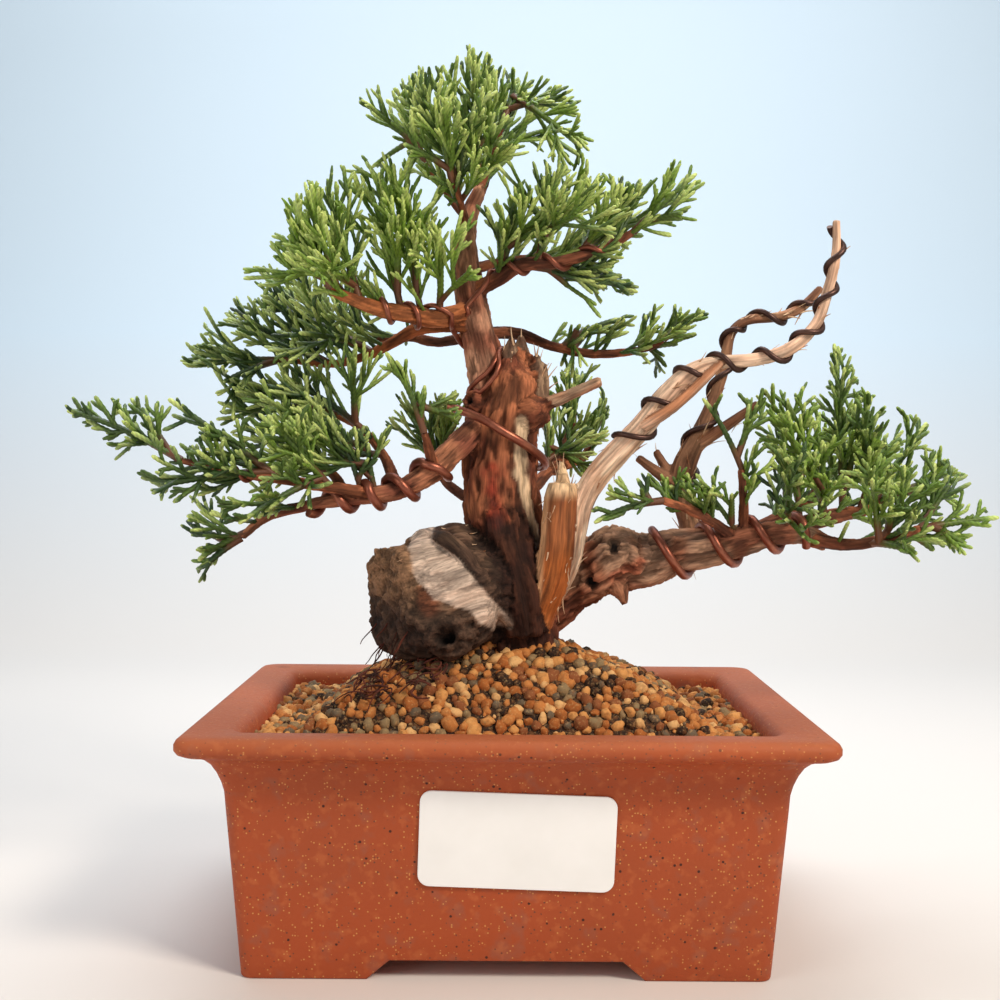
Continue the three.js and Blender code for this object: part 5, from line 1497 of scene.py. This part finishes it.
# %% Where the sprays grow
SPRAYS = [
    ("leader", 1, [(-11, 0, 248), (-21, -8, 240), (-3, -6, 238)]),
    ("crown_right_twig", 1, [(1, 10, 246), (16, 2, 239), (20, -8, 222)]),
    ("crown_left_twig", 1, [(-30, 8, 246), (-43, 4, 238), (-42, 18, 222)]),
    ("crown_front_twig", 1, [(-19, -32, 225), (-30, -34, 217)]),
    ("crown_front_twig", 0.55, [(-2, -32, 216)]),
    ("crown_back_twig", 1, [(-3, 38, 253), (12, 42, 240)]),
    ("crown_back_twig", 0.5, [(-24, 38, 241)]),
    ("right_crown", 0.5, [(9, -16, 212), (23, -2, 212), (19, -30, 199)]),
    ("right_crown", 0.82, [(37, -2, 212)]),
    ("right_crown", 1, [(53, -4, 216), (50, -14, 203)]),
    ("right_crown_back", 1, [(38, 36, 188), (32, 48, 208)]),
    ("right_crown_back", 0.6, [(16, 38, 214)]),
    ("upper_left", 1, [(-64, -20, 202), (-70, -12, 191)]),
    ("upper_left", 0.8, [(-51, -16, 209), (-52, -38, 183)]),
    ("upper_left", 0.55, [(-40, -10, 211), (-30, -28, 199)]),
    ("upper_left", 0.25, [(-19, -26, 193), (-8, -30, 186)]),
    ("left_mid", 1, [(-94, 8, 162), (-85, -4, 154)]),
    ("left_mid", 0.8, [(-85, 16, 176)]),
    ("left_mid", 0.55, [(-76, 24, 183), (-59, -12, 169)]),
    ("left_back", 1, [(-71, 46, 184), (-54, 52, 190)]),
    ("low_left_rise", 1, [(-78, 12, 156), (-86, 4, 147)]),
    ("low_left_rise", 0.6, [(-62, 0, 155), (-44, -14, 161)]),
    ("low_left_twig", 1, [(-75, 4, 139)]),
    ("low_left", 1, [(-85, -26, 101), (-91, -16, 116)]),
    ("low_left_arm", 1, [(-118, -30, 146), (-103, -24, 150)]),
    ("low_left_arm", 0.5, [(-89, -38, 149), (-96, -42, 125)]),
    ("low_left_arm", 0.25, [(-63, -38, 145), (-69, -46, 117)]),
    ("bright_twig", 1, [(-33, -32, 162), (-23, -24, 154), (-13, -20, 144)]),
    ("trunk_back_twig", 1, [(-21, 30, 155)]),
    ("mid_right", 0.5, [(28, 30, 177)]),
    ("mid_right", 0.8, [(42, 24, 179), (51, 28, 161)]),
    ("mid_right", 1, [(60, 18, 180)]),
    ("back_rise", 1, [(23, 46, 162), (12, 42, 157)]),
    ("back_fork", 1, [(35, 52, 156), (54, 58, 141)]),
    ("low_right_rise", 1, [(53, -20, 151), (70, -14, 151)]),
    ("low_right_return", 1, [(23, -28, 117), (35, -22, 129)]),
    ("low_right_upper", 0.15, [(80, -2, 154)]),
    ("low_right_upper", 0.45, [(96, 8, 169), (105, 0, 153)]),
    ("low_right_upper", 0.75, [(125, 12, 146)]),
    ("low_right_upper", 1, [(136, 8, 133), (129, 0, 124)]),
    ("low_right_lower", 1, [(134, -22, 119), (125, -30, 110)]),
    ("low_right_lower", 0.5, [(111, -36, 108), (95, -36, 132)]),
    ("low_right_back", 0.5, [(86, 34, 144), (112, 46, 151)]),
    ("low_right_back", 1, [(127, 52, 138)]),
    ("low_right", 0.85, [(75, -30, 134), (80, -30, 112)]),
]

# %% Middle lines of cords
AXIS = {"bend": 0.45, "sweep": 0.12, "lift": 0.06, "past": 2, "step": 4}
GOLDEN_TURN = math.radians(137.5)
LIGHTWARD = np.array([0, 0, 1.0])

# Two habits of growth: long brushes on the crown and the left, short forked tufts on the low limbs.
# Lengths are in millimetres and slants in degrees.
LONG = {
    "cord": (6, 15), "slant": (18, 34), "forks": 1.2, "fork": (3, 7), "spread": (18, 32),
    "shoot": (12, 22), "lean": 0.25, "thick": (0.5, 0.6), "apart": (2.6, 4.2),
}
SHORT = {
    "cord": (4, 9), "slant": (26, 46), "forks": 1.7, "fork": (2.4, 5), "spread": (24, 42),
    "shoot": (9, 16), "lean": 0.12, "thick": (0.54, 0.64), "apart": (2.2, 3.4),
}
SHORT_LIMBS = ("low_right", "low_left_arm")


def habit_of(limb):
    """The habit of growth on a limb."""
    return SHORT if limb.startswith(SHORT_LIMBS) else LONG


def bezier(start, bend, end, steps):
    """Points along a curve with one bend."""
    t = np.linspace(0, 1, steps + 1)[:, None]
    return start * (1 - t) ** 2 + 2 * bend * t * (1 - t) + end * t**2


def axis_lines(limb, place, tips):
    """The spray's axes: the first starts inside the limb, the others leave it further out. Each has
    its line and the row of the first one where it starts."""
    (root,), (bark,) = limb_at(limb, [place])
    tips = [np.array(tip, float) for tip in tips]
    heading = unit(sum(unit(tip - root) for tip in tips))
    lines = []
    for number, tip in enumerate(tips):
        start, sweep, row = root, AXIS["sweep"], 0
        if number:
            first = lines[0][0]
            gone = np.cumsum(np.linalg.norm(np.diff(first, axis=0), axis=1))
            row = 1 + np.searchsorted(gone, bark + AXIS["past"] + AXIS["step"] * (number - 1))
            start, sweep = first[row], 0
        length = np.linalg.norm(tip - start)
        bend = start + AXIS["bend"] * (tip - start) + heading * sweep * length
        bend = bend + AXIS["lift"] * length * LIGHTWARD
        lines.append((bezier(start, bend, tip, 24), row))
    return lines, bark


def cord_line(random, root, way, length, lean, steps):
    """A nearly straight line that leans a little towards another direction on its way."""
    points = [root]
    wander = unit(random.normal(size=3)) * 0.12
    for k in range(steps):
        share = (k + 1) / steps
        points.append(points[-1] + unit(way + (lean + wander) * share) * length / steps)
    return np.array(points)


def slanted(tangent, outward, degrees):
    """A direction at this angle from the tangent, towards the outward side."""
    angle = math.radians(degrees)
    return unit(tangent * math.cos(angle) + outward * math.sin(angle))


def outward_of(random, tangent):
    """A random direction square to the tangent."""
    draw = random.normal(size=3)
    return unit(draw - (draw @ tangent) * tangent)


def add_cord(random, lines, root, way, reach, habit, hue, parent):
    """One cord with its forks. Each line has points, thickness, freshness, woodiness, hue, and its
    parent's number with the row where it leaves that."""
    thick = random.uniform(*habit["thick"])
    cord = cord_line(random, root, way, reach, habit["lean"] * LIGHTWARD, 4)
    strong = blend(3, 10, reach)
    own = len(lines)
    fresh = np.linspace(0.1, 1, 5) * strong
    lines.append((cord, thick * np.linspace(1.05, 0.94, 5), fresh, np.zeros(5), hue, parent))
    flat = outward_of(random, way)
    side = 1
    forks = int(habit["forks"] + random.uniform(0, 1))
    for k in range(forks):
        at = (k + random.uniform(0.35, 0.85)) / (forks + 0.2)
        if reach * at < 1.6:
            continue
        root_row = min(int(at * 4), 3)
        fork_root = cord[root_row] + (cord[root_row + 1] - cord[root_row]) * (at * 4 - root_row)
        fork_way = slanted(way, side * flat, random.uniform(*habit["spread"]))
        fork_reach = min(random.uniform(*habit["fork"]), reach * (1 - at) * 1.1 + 1.2)
        fork = cord_line(random, fork_root, fork_way, fork_reach, 0.3 * way + 0.1 * LIGHTWARD, 3)
        fresh = np.linspace(0.3 + 0.4 * at, 1, 4) * strong
        lines.append((fork, thick * np.linspace(0.98, 0.9, 4), fresh, np.zeros(4), hue, (own, at * 4)))
        side = -side


def add_shoot(random, lines, root, way, reach, habit, hue, parent=None):
    """A green shoot: a cord of its own with slanting cords on alternate sides."""
    spine = cord_line(random, root, way, reach, 0.8 * habit["lean"] * LIGHTWARD, 6)
    tangents = unit(np.gradient(spine, axis=0))
    thick = habit["thick"][1]
    fresh = np.linspace(0, 1, 7) ** 1.5 * blend(4, 12, reach)
    own = len(lines)
    lines.append((spine, thick * np.linspace(1.05, 0.95, 7), fresh, np.zeros(7), hue, parent))
    flat = outward_of(random, way)
    gap, side = random.uniform(1.5, 3), 1
    while gap < reach - 2:
        row = gap / reach * 6
        low = min(int(row), 5)
        start = spine[low] + (spine[low + 1] - spine[low]) * (row - low)
        outward = unit(side * flat + 0.8 * outward_of(random, tangents[low]))
        slant = random.uniform(*habit["slant"])
        length = min(random.uniform(*habit["cord"]), (reach - gap + 1.5) / math.cos(math.radians(slant)))
        tilt = float(np.clip(hue + random.uniform(-0.25, 0.25), 0, 1))
        way = slanted(tangents[low], outward, slant)
        add_cord(random, lines, start, way, max(length, 2.5), habit, tilt, (own, row))
        side = -side
        gap += random.uniform(*habit["apart"])


# %% [markdown]
# ### Pinched to an outline
# The grower keeps each pad in shape by pinching the tips that leave it. The outlines below are
# places along X and Z, as the pads show from the front. A cord ends where it would leave all of
# them, less a random margin, because a pinched pad is never as smooth as a hedge.

# %% Outlines of the pads
PADS = [
    [  # crown
        (-44, 240), (-44, 232), (-36, 228), (-30, 224), (-27, 217), (-24, 207), (-20, 199), (-14, 195),
        (-5, 191), (-1, 195), (9, 198), (24, 209), (23, 217), (23, 227), (20, 231), (20, 238), (16, 242),
        (11, 244), (5, 244), (1, 248), (-4, 247), (-7, 251), (-11, 256), (-15, 251), (-19, 251),
        (-27, 247), (-31, 242), (-36, 241),
    ],
    [  # right of the crown
        (-6, 215), (-6, 191), (-1, 180), (6, 185), (15, 185), (19, 183), (26, 175), (27, 183), (35, 181),
        (38, 183), (30, 190), (32, 193), (37, 197), (45, 198), (53, 201), (55, 204), (51, 208), (55, 211),
        (55, 219), (48, 221), (44, 218), (38, 214), (34, 217), (27, 218), (21, 217), (15, 221), (3, 224),
    ],
    [  # upper left
        (-67, 210), (-65, 204), (-63, 199), (-70, 198), (-69, 194), (-66, 189), (-78, 189), (-76, 184),
        (-70, 182), (-75, 180), (-71, 176), (-52, 172), (-31, 180), (-8, 183), (-12, 195), (-20, 198),
        (-23, 209), (-26, 219), (-30, 223), (-33, 217), (-36, 223), (-39, 224), (-44, 222), (-48, 219),
        (-52, 219), (-55, 214), (-59, 215), (-63, 209),
    ],
    [  # left
        (-79, 181), (-76, 182), (-74, 179), (-66, 180), (-31, 180), (-26, 172), (-22, 165), (-37, 167),
        (-40, 163), (-46, 159), (-52, 154), (-50, 146), (-46, 140), (-47, 131), (-58, 125), (-75, 125),
        (-88, 137), (-89, 144), (-83, 146), (-85, 150), (-86, 153), (-85, 158), (-95, 161), (-94, 166),
        (-89, 169), (-88, 177), (-84, 179),
    ],
    [  # pale pad in front of the low left branch
        (-54, 155), (-49, 162), (-44, 169), (-40, 168), (-36, 164), (-28, 162), (-26, 153), (-24, 156),
        (-23, 151), (-18, 154), (-13, 153), (-12, 144), (-18, 140), (-18, 134), (-23, 131), (-29, 137),
        (-37, 144), (-46, 148),
    ],
    [  # low left arm and the tip that hangs under it
        (-130, 147), (-126, 152), (-118, 151), (-107, 152), (-101, 150), (-99, 153), (-95, 150), (-90, 146),
        (-87, 141), (-82, 144), (-72, 146), (-60, 140), (-49, 143), (-34, 143), (-26, 137), (-31, 130),
        (-43, 129), (-52, 121), (-63, 118), (-71, 115), (-78, 111), (-79, 105), (-82, 107), (-85, 103),
        (-89, 96), (-91, 103), (-96, 102), (-89, 109), (-95, 114), (-90, 121), (-102, 121), (-104, 126),
        (-113, 130), (-115, 133), (-111, 136), (-118, 136), (-118, 141), (-123, 143),
    ],
    [  # middle right
        (7, 172), (16, 174), (24, 173), (33, 176), (38, 177), (43, 181), (46, 180), (50, 177), (58, 179),
        (58, 176), (56, 170), (50, 168), (50, 164), (45, 161), (46, 157), (35, 157), (27, 158), (16, 159),
        (11, 165),
    ],
    [  # behind the bare branch
        (11, 156), (14, 159), (20, 159), (25, 157), (28, 154), (30, 143), (30, 133), (38, 132), (38, 128),
        (27, 128), (15, 128), (9, 128), (10, 140),
    ],
    [  # low right, near the trunk
        (23, 112), (23, 117), (27, 124), (27, 129), (34, 132), (41, 130), (46, 133), (53, 133), (57, 128),
        (66, 126), (69, 121), (61, 119), (53, 121), (44, 116), (38, 112), (36, 116), (27, 116),
    ],
    [  # low right
        (53, 153), (59, 152), (63, 154), (71, 153), (72, 157), (79, 156), (82, 152), (84, 157), (87, 158),
        (90, 153), (92, 158), (90, 165), (94, 169), (98, 165), (100, 163), (102, 157), (107, 152),
        (111, 150), (122, 148), (122, 141), (128, 138), (128, 133), (135, 131), (135, 128), (131, 126),
        (136, 125), (139, 120), (143, 119), (142, 114), (135, 114), (135, 105), (130, 108), (125, 110),
        (119, 103), (115, 107), (108, 112), (99, 116), (92, 114), (89, 110), (79, 115), (72, 113),
        (66, 122), (60, 124), (55, 126), (57, 132), (68, 134), (67, 143), (59, 148),
    ],
]


def seen_flat(points):
    """Points moved along the line of sight onto the plane through the trunk, as places along X and Z."""
    eye = np.array(CAMERA_PLACE)
    away = points - eye
    return (eye + away * (-eye[1] / away[:, 1])[:, None])[:, [0, 2]]


def in_pads(points):
    """Whether each point lies in the outline of a pad."""
    x, z = seen_flat(points).T
    found = np.zeros(len(points), bool)
    for pad in PADS:
        inside = np.zeros(len(points), bool)
        for (ax, az), (bx, bz) in zip(pad, pad[1:] + pad[:1]):
            crossed = (az > z) != (bz > z)
            if az != bz:
                inside ^= crossed & (x < ax + (z - az) * (bx - ax) / (bz - az))
        found |= inside
    return found


def pinched(random, lines):
    """The lines without what grows out of the pads, and without what grew on the parts cut off."""
    ahead = []
    for line, *_ in lines:
        margin = max(0, random.normal(0.8, 2))
        ahead.append(line + unit(line[-1] - line[0]) * margin)
    inside = in_pads(np.vstack(ahead))
    kept, rows_left, start = [], [], 0
    for line, thick, fresh, woody, hue, parent in lines:
        own = inside[start : start + len(line)]
        start += len(line)
        if woody[0] == 1:  # a woody axis may cross gaps between pads, so only its end is pinched
            own = np.logical_or.accumulate(own[::-1])[::-1] | (not own.any())
        elif parent is None and own.any():  # a shoot on a twig may enter its pad later
            own = own | ~np.logical_or.accumulate(own)
        count = len(line) if own.all() else int(own.argmin())
        if parent and parent[1] > rows_left[parent[0]]:
            count = 0
        rows_left.append(count - 0.6)
        if count == len(line):
            kept.append((line, thick, fresh, woody, hue))
        elif count > 0:
            end = (line[count - 1] + line[count]) / 2
            line = np.vstack([line[:count], end])
            fresh = np.append(fresh[:count], max(fresh[count], 0.75))
            if np.linalg.norm(line[-1] - line[0]) > 1.8:
                kept.append((line, thick[: count + 1], fresh, woody[: count + 1], hue))
            else:
                rows_left[-1] = -1
    return kept


# %% One spray, and the green on a twig
SHOOTS_APART, TWIG_SHOOTS_APART = 3.4, 4
STRIDE = (0.7, 1.3)  # how far the way to the next shoot may differ from that
SHOOT_SLANT, TWIG_SLANT = (24, 44), (38, 66)
TWIG_ROWS = 80
SPRAY_SEED, TWIG_SEED = 4100, 9300


def spray_lines(number, limb, place, tips):
    """All middle lines of one spray."""
    random = np.random.default_rng(SPRAY_SEED + number)
    habit = habit_of(limb)
    lines = []
    axes, bark = axis_lines(limb, place, tips)
    for rank, (line, branch_row) in enumerate(axes):
        tangents, across, up = frames_along(line)
        gone = np.concatenate([[0], np.cumsum(np.linalg.norm(np.diff(line, axis=0), axis=1))])
        length = gone[-1]
        share = gone / length
        hue = float(np.clip(random.uniform(0.2, 0.8) + HUES.get(limb, 0), 0, 1))
        own = len(lines)
        parent = (0, branch_row) if rank else None
        woody = 1 - blend(0.15, 0.4, share)
        lines.append((line, 1.1 - 0.45 * share, blend(0.7, 1, share), woody, hue, parent))
        turn = random.uniform(0, 2 * math.pi)
        at = 2.5 if rank else bark + 1.5
        while at < length - 3:
            row = min(int(np.searchsorted(gone, at)), len(line) - 1)
            turn += GOLDEN_TURN + random.uniform(-0.4, 0.4)
            outward = across[row] * math.cos(turn) + up[row] * math.sin(turn)
            slant = random.uniform(*SHOOT_SLANT)
            way = unit(slanted(tangents[row], outward, slant) + 0.15 * LIGHTWARD)
            room = (length - at + 0.5) / math.cos(math.radians(slant))
            reach = min(random.uniform(*habit["shoot"]), room)
            tilt = float(np.clip(hue + random.uniform(-0.2, 0.2), 0, 1))
            add_shoot(random, lines, line[row], way, reach, habit, tilt, (own, row))
            at += random.uniform(*STRIDE) * SHOOTS_APART
    return pinched(random, lines)


# Smaller sprays that fill the gaps between those of the solids, in rows of the same form.
FILLING = [
    ("low_left", 0.55, [(-38, -26, 138), (-52, -24, 140), (-60, -26, 133)]),
    ("low_left_rise", 0.3, [(-46, -16, 134), (-56, -8, 144), (-66, 2, 150)]),
    ("low_left_twig", 0.5, [(-70, -14, 134), (-62, -2, 146)]),
    ("trunk_back_twig", 0.6, [(-30, 22, 150), (-14, 24, 150), (-26, 20, 142)]),
    ("right_crown", 0.4, [(38, 4, 183), (34, 8, 188), (26, 6, 176)]),
    ("right_crown", 0.65, [(40, 6, 206), (30, -16, 205)]),
    ("mid_right", 0.45, [(22, 20, 176), (34, 26, 178), (16, 24, 163)]),
    ("mid_right", 0.85, [(54, 26, 170), (52, 10, 177)]),
    ("back_rise", 0.4, [(10, 30, 150), (22, 34, 140), (27, 36, 131)]),
    ("back_rise", 0.7, [(30, 40, 142), (12, 40, 136)]),
    ("low_right_return", 0.3, [(44, -20, 127), (56, -16, 126)]),
    ("low_right", 0.72, [(53, -20, 127), (61, -22, 125)]),
    ("low_right_upper", 0.3, [(88, -12, 140), (84, -16, 128), (74, -14, 146)]),
    ("low_right_upper", 0.6, [(106, -8, 140), (114, -4, 130), (100, -10, 148)]),
    ("low_right_lower", 0.6, [(112, -26, 128), (102, -30, 122)]),
    ("low_right_lower", 1, [(126, -20, 134), (118, -16, 122)]),
    ("low_right_back", 0.7, [(112, 24, 140), (100, 36, 132)]),
    ("upper_left", 0.9, [(-62, -26, 196), (-56, -30, 206), (-66, -14, 184)]),
    ("upper_left", 0.4, [(-34, -16, 214), (-28, -22, 206)]),
    ("crown_front_twig", 0.8, [(-10, -30, 226), (-26, -28, 232)]),
    ("right_crown", 0.2, [(4, -16, 206), (-4, -14, 200), (10, -18, 198)]),
    ("low_left", 0.6, [(-46, -28, 141), (-38, -26, 134)]),
    ("low_left", 0.97, [(-84, -26, 106), (-80, -22, 112)]),
    ("low_right_lower", 0.8, [(126, -22, 112), (118, -24, 108)]),
]
HUES = {
    "upper_left": 0.45, "bright_twig": 0.3, "left_mid": -0.3, "left_back": -0.2, "low_left": -0.3,
    "low_left_arm": -0.1, "low_left_rise": -0.2, "low_right_upper": 0.15, "low_right_lower": 0.2,
}

# Twigs that bear shoots of their own between the sprays, and from which place on.
GREEN_TWIGS = {
    "right_crown": 0.2, "right_crown_back": 0.3, "upper_left": 0.35, "crown_right_twig": 0.35,
    "crown_left_twig": 0.4, "crown_front_twig": 0.45, "crown_back_twig": 0.4, "left_mid": 0.4,
    "left_back": 0.35, "low_left_rise": 0.35, "low_left_twig": 0.4, "low_left_arm": 0.3,
    "low_left": 0.82, "mid_right": 0.4, "back_rise": 0.4, "back_fork": 0.35, "trunk_back_twig": 0.6,
    "low_right_upper": 0.15, "low_right_lower": 0.25, "low_right_back": 0.35, "low_right_return": 0.35,
    "low_right_rise": 0.4,
}


def twig_lines(number, limb, first):
    """Shoots that grow straight from a twig, on its sides and top."""
    random = np.random.default_rng(TWIG_SEED + number)
    habit = habit_of(limb)
    lines = []
    length = length_of(limb)
    points, _ = limb_at(limb, np.linspace(0, 1, TWIG_ROWS))
    tangents, _, _ = frames_along(points)
    at = first * length
    while at < length * 0.97:
        row = min(int(at / length * (TWIG_ROWS - 1)), TWIG_ROWS - 1)
        outward = unit(outward_of(random, tangents[row]) + 0.9 * LIGHTWARD)
        way = slanted(tangents[row], outward, random.uniform(*TWIG_SLANT))
        reach = random.uniform(*habit["shoot"]) * 0.85
        hue = float(np.clip(random.uniform(0.1, 0.9) + HUES.get(limb, 0), 0, 1))
        add_shoot(random, lines, points[row], way, reach, habit, hue)
        at += random.uniform(*STRIDE) * TWIG_SHOOTS_APART
    return pinched(random, lines)


# %% Juniper scales
def juniper_scales():
    """Waxy green scales: deep green below, yellow-green at the fresh tips, brown where it turns woody, with
    painted shade in the creases and on the cords deep inside a pad.
    """
    material, tree, shader = new_material(
        "juniper_scale_leaves", Roughness=0.5, Specular_IOR_Level=0.4, Subsurface_Weight=0.12
    )
    add = partial(add_node, tree)
    shader.inputs["Subsurface Radius"].default_value = (0.6, 1.0, 0.3)
    shader.inputs["Subsurface Scale"].default_value = 0.0012
    reads = {
        key: add("ShaderNodeAttribute", attribute_name=key).outputs["Fac"]
        for key in ("fresh", "woody", "hue", "swell")
    }
    place = add("ShaderNodeTexCoord").outputs["Object"]
    green = add(
        "ShaderNodeMix", {0: reads["hue"], 6: linear("#334F28"), 7: linear("#7A9A34")}, data_type="RGBA"
    ).outputs[2]
    tip = add("ShaderNodeMapRange", {"Value": reads["fresh"], "From Min": 0.35, "To Max": 0.95})
    fresh = add("ShaderNodeMix", {0: tip, 6: green, 7: linear("#CBDA80")}, data_type="RGBA").outputs[2]
    patched = mix_by_noise(tree, place, fresh, 120, 0.5, 0.75, 0.35, "#4A6B3C", 3)
    woody = add(
        "ShaderNodeMix", {0: reads["woody"], 6: patched, 7: linear("#8A5A3E")}, data_type="RGBA"
    ).outputs[2]
    # Painted shade in the creases between the scales and painted highlight on their swollen corners.
    crease_shade = add(
        "ShaderNodeMapRange",
        {"Value": reads["swell"], "From Min": 0.91, "From Max": 1.08, "To Min": 0.72, "To Max": 1.12},
    )
    # Painted shade on the cords deep inside a pad, where they are least fresh.
    inner = add(
        "ShaderNodeMapRange", {"Value": reads["fresh"], "From Max": 0.45, "To Min": 0.62, "To Max": 1.08}
    )
    depth = add("ShaderNodeMath", {0: crease_shade, 1: inner}, operation="MULTIPLY")
    shaded = add("ShaderNodeVectorMath", {0: woody, "Scale": depth}, operation="SCALE")
    feed(tree, shader, {"Base Color": shaded})
    return material


SCALES = juniper_scales()


# %% Cords of scales
def cord_tree():
    """Four-sided cords along all lines, with corners that swell in turn and blunt round tips."""
    tree, start, end = new_tree("scale cords", Scale_pitch="Float", Swell="Float", Blunt="Float")
    add = partial(add_node, tree)
    lines = add("GeometryNodeMeshToCurve", {0: start.outputs["Geometry"]})
    spline = add("GeometryNodeCurveSplineType", {0: lines}, spline_type="CATMULL_ROM")
    pitch = start.outputs["Scale pitch"]
    rings = add("GeometryNodeResampleCurve", {0: spline, "Length": pitch}, mode="LENGTH")
    along = add("GeometryNodeSplineParameter")
    whole = add("GeometryNodeSplineLength").outputs["Length"]
    left = add("ShaderNodeMath", {0: whole, 1: along.outputs["Length"]}, operation="SUBTRACT")
    tip = add("ShaderNodeMapRange", {"Value": left, "From Max": start.outputs["Blunt"], "To Min": 0.34})
    rounded = add("ShaderNodeMath", {0: tip, 1: 0.55}, operation="POWER")
    thick = add("GeometryNodeInputNamedAttribute", {"Name": "thick"}, data_type="FLOAT")
    size = add("ShaderNodeMath", {0: thick, 1: rounded}, operation="MULTIPLY")
    place = add("GeometryNodeInputPosition")
    for name, value, kind in (("middle", place, "FLOAT_VECTOR"), ("ring", along.outputs["Index"], "FLOAT")):
        rings = add("GeometryNodeStoreNamedAttribute", {0: rings, 2: name, 3: value}, data_type=kind)
    section = add("GeometryNodeCurvePrimitiveCircle", {"Resolution": 4, "Radius": 1.0})
    rank = add("GeometryNodeInputIndex")
    section = add("GeometryNodeStoreNamedAttribute", {0: section, 2: "rank", 3: rank}, data_type="FLOAT")
    swept = add("GeometryNodeCurveToMesh", {0: rings, 1: section, "Scale": size, "Fill Caps": True})
    kinds = {"middle": "FLOAT_VECTOR", "ring": "FLOAT", "rank": "FLOAT", "woody": "FLOAT"}
    read = {
        key: add("GeometryNodeInputNamedAttribute", {"Name": key}, data_type=kind)
        for key, kind in kinds.items()
    }
    turn = add("ShaderNodeMath", {0: read["ring"], 1: read["rank"]}, operation="ADD")
    odd = add("ShaderNodeMath", {0: turn, 1: 2.0}, operation="MODULO")
    odd = add("ShaderNodeMath", {0: odd, 1: 0.5}, operation="SUBTRACT")
    green = add("ShaderNodeMath", {0: 1.0, 1: read["woody"]}, operation="SUBTRACT")
    most = add("ShaderNodeMath", {0: start.outputs["Swell"], 1: green}, operation="MULTIPLY")
    swell = add("ShaderNodeMath", {0: odd, 1: most, 2: 1.0}, operation="MULTIPLY_ADD")
    position = add("GeometryNodeInputPosition")
    arm = add("ShaderNodeVectorMath", {0: position, 1: read["middle"]}, operation="SUBTRACT")
    swollen = add("ShaderNodeVectorMath", {0: arm, "Scale": swell}, operation="SCALE")
    final = add("ShaderNodeVectorMath", {0: read["middle"], 1: swollen}, operation="ADD")
    kept = add("GeometryNodeStoreNamedAttribute", {0: swept, 2: "swell", 3: swell}, data_type="FLOAT")
    moved = add("GeometryNodeSetPosition", {0: kept, "Position": final})
    dressed = add("GeometryNodeSetMaterial", {0: moved, "Material": SCALES})
    feed(tree, end, {0: dressed})
    return tree


CORDS = cord_tree()
SCALE_PITCH = 0.72
SCALE_SWELL = 0.17
BLUNT_TIP = 0.9

# %% All sprays
def foliage_piece(name, lines, *nodes):
    """One mesh of cords from its middle lines."""
    points, edges = [], []
    numbers = {"thick": [], "fresh": [], "woody": [], "hue": []}
    for line, thick, fresh, woody, hue in lines:
        edges += chain(line, len(points))
        points += list(line)
        numbers["thick"] += list(np.asarray(thick) * MM)
        numbers["fresh"] += list(fresh)
        numbers["woody"] += list(woody)
        numbers["hue"] += [hue] * len(line)
    piece = mesh_object(name, points, [], edges, numbers)
    sizes = {"Scale pitch": SCALE_PITCH * MM, "Swell": SCALE_SWELL, "Blunt": BLUNT_TIP * MM}
    apply_tree(piece, CORDS, **sizes)
    return finish_piece(piece, "foliage", *nodes)


foliage = []
counts = {}
for number, (limb, place, tips) in enumerate(SPRAYS):
    counts[limb] = counts.get(limb, 0) + 1
    own = f"{limb}_{counts[limb]}"
    foliage.append(foliage_piece("foliage_" + own, spray_lines(number, limb, place, tips), "spray_" + own))
for number, (limb, place, tips) in enumerate(FILLING):
    foliage.append(foliage_piece(f"filling_{number + 1}", spray_lines(100 + number, limb, place, tips)))
for number, (limb, first) in enumerate(GREEN_TWIGS.items()):
    lines = twig_lines(number, limb, first)
    if lines:
        foliage.append(foliage_piece("shoots_" + limb, lines))
foliage_total = sum(TRIANGLES[piece.name] for piece in foliage)
print("foliage:", foliage_total, "triangles in", len(foliage), "pieces")
print("in all:", sum(TRIANGLES.values()), "triangles")
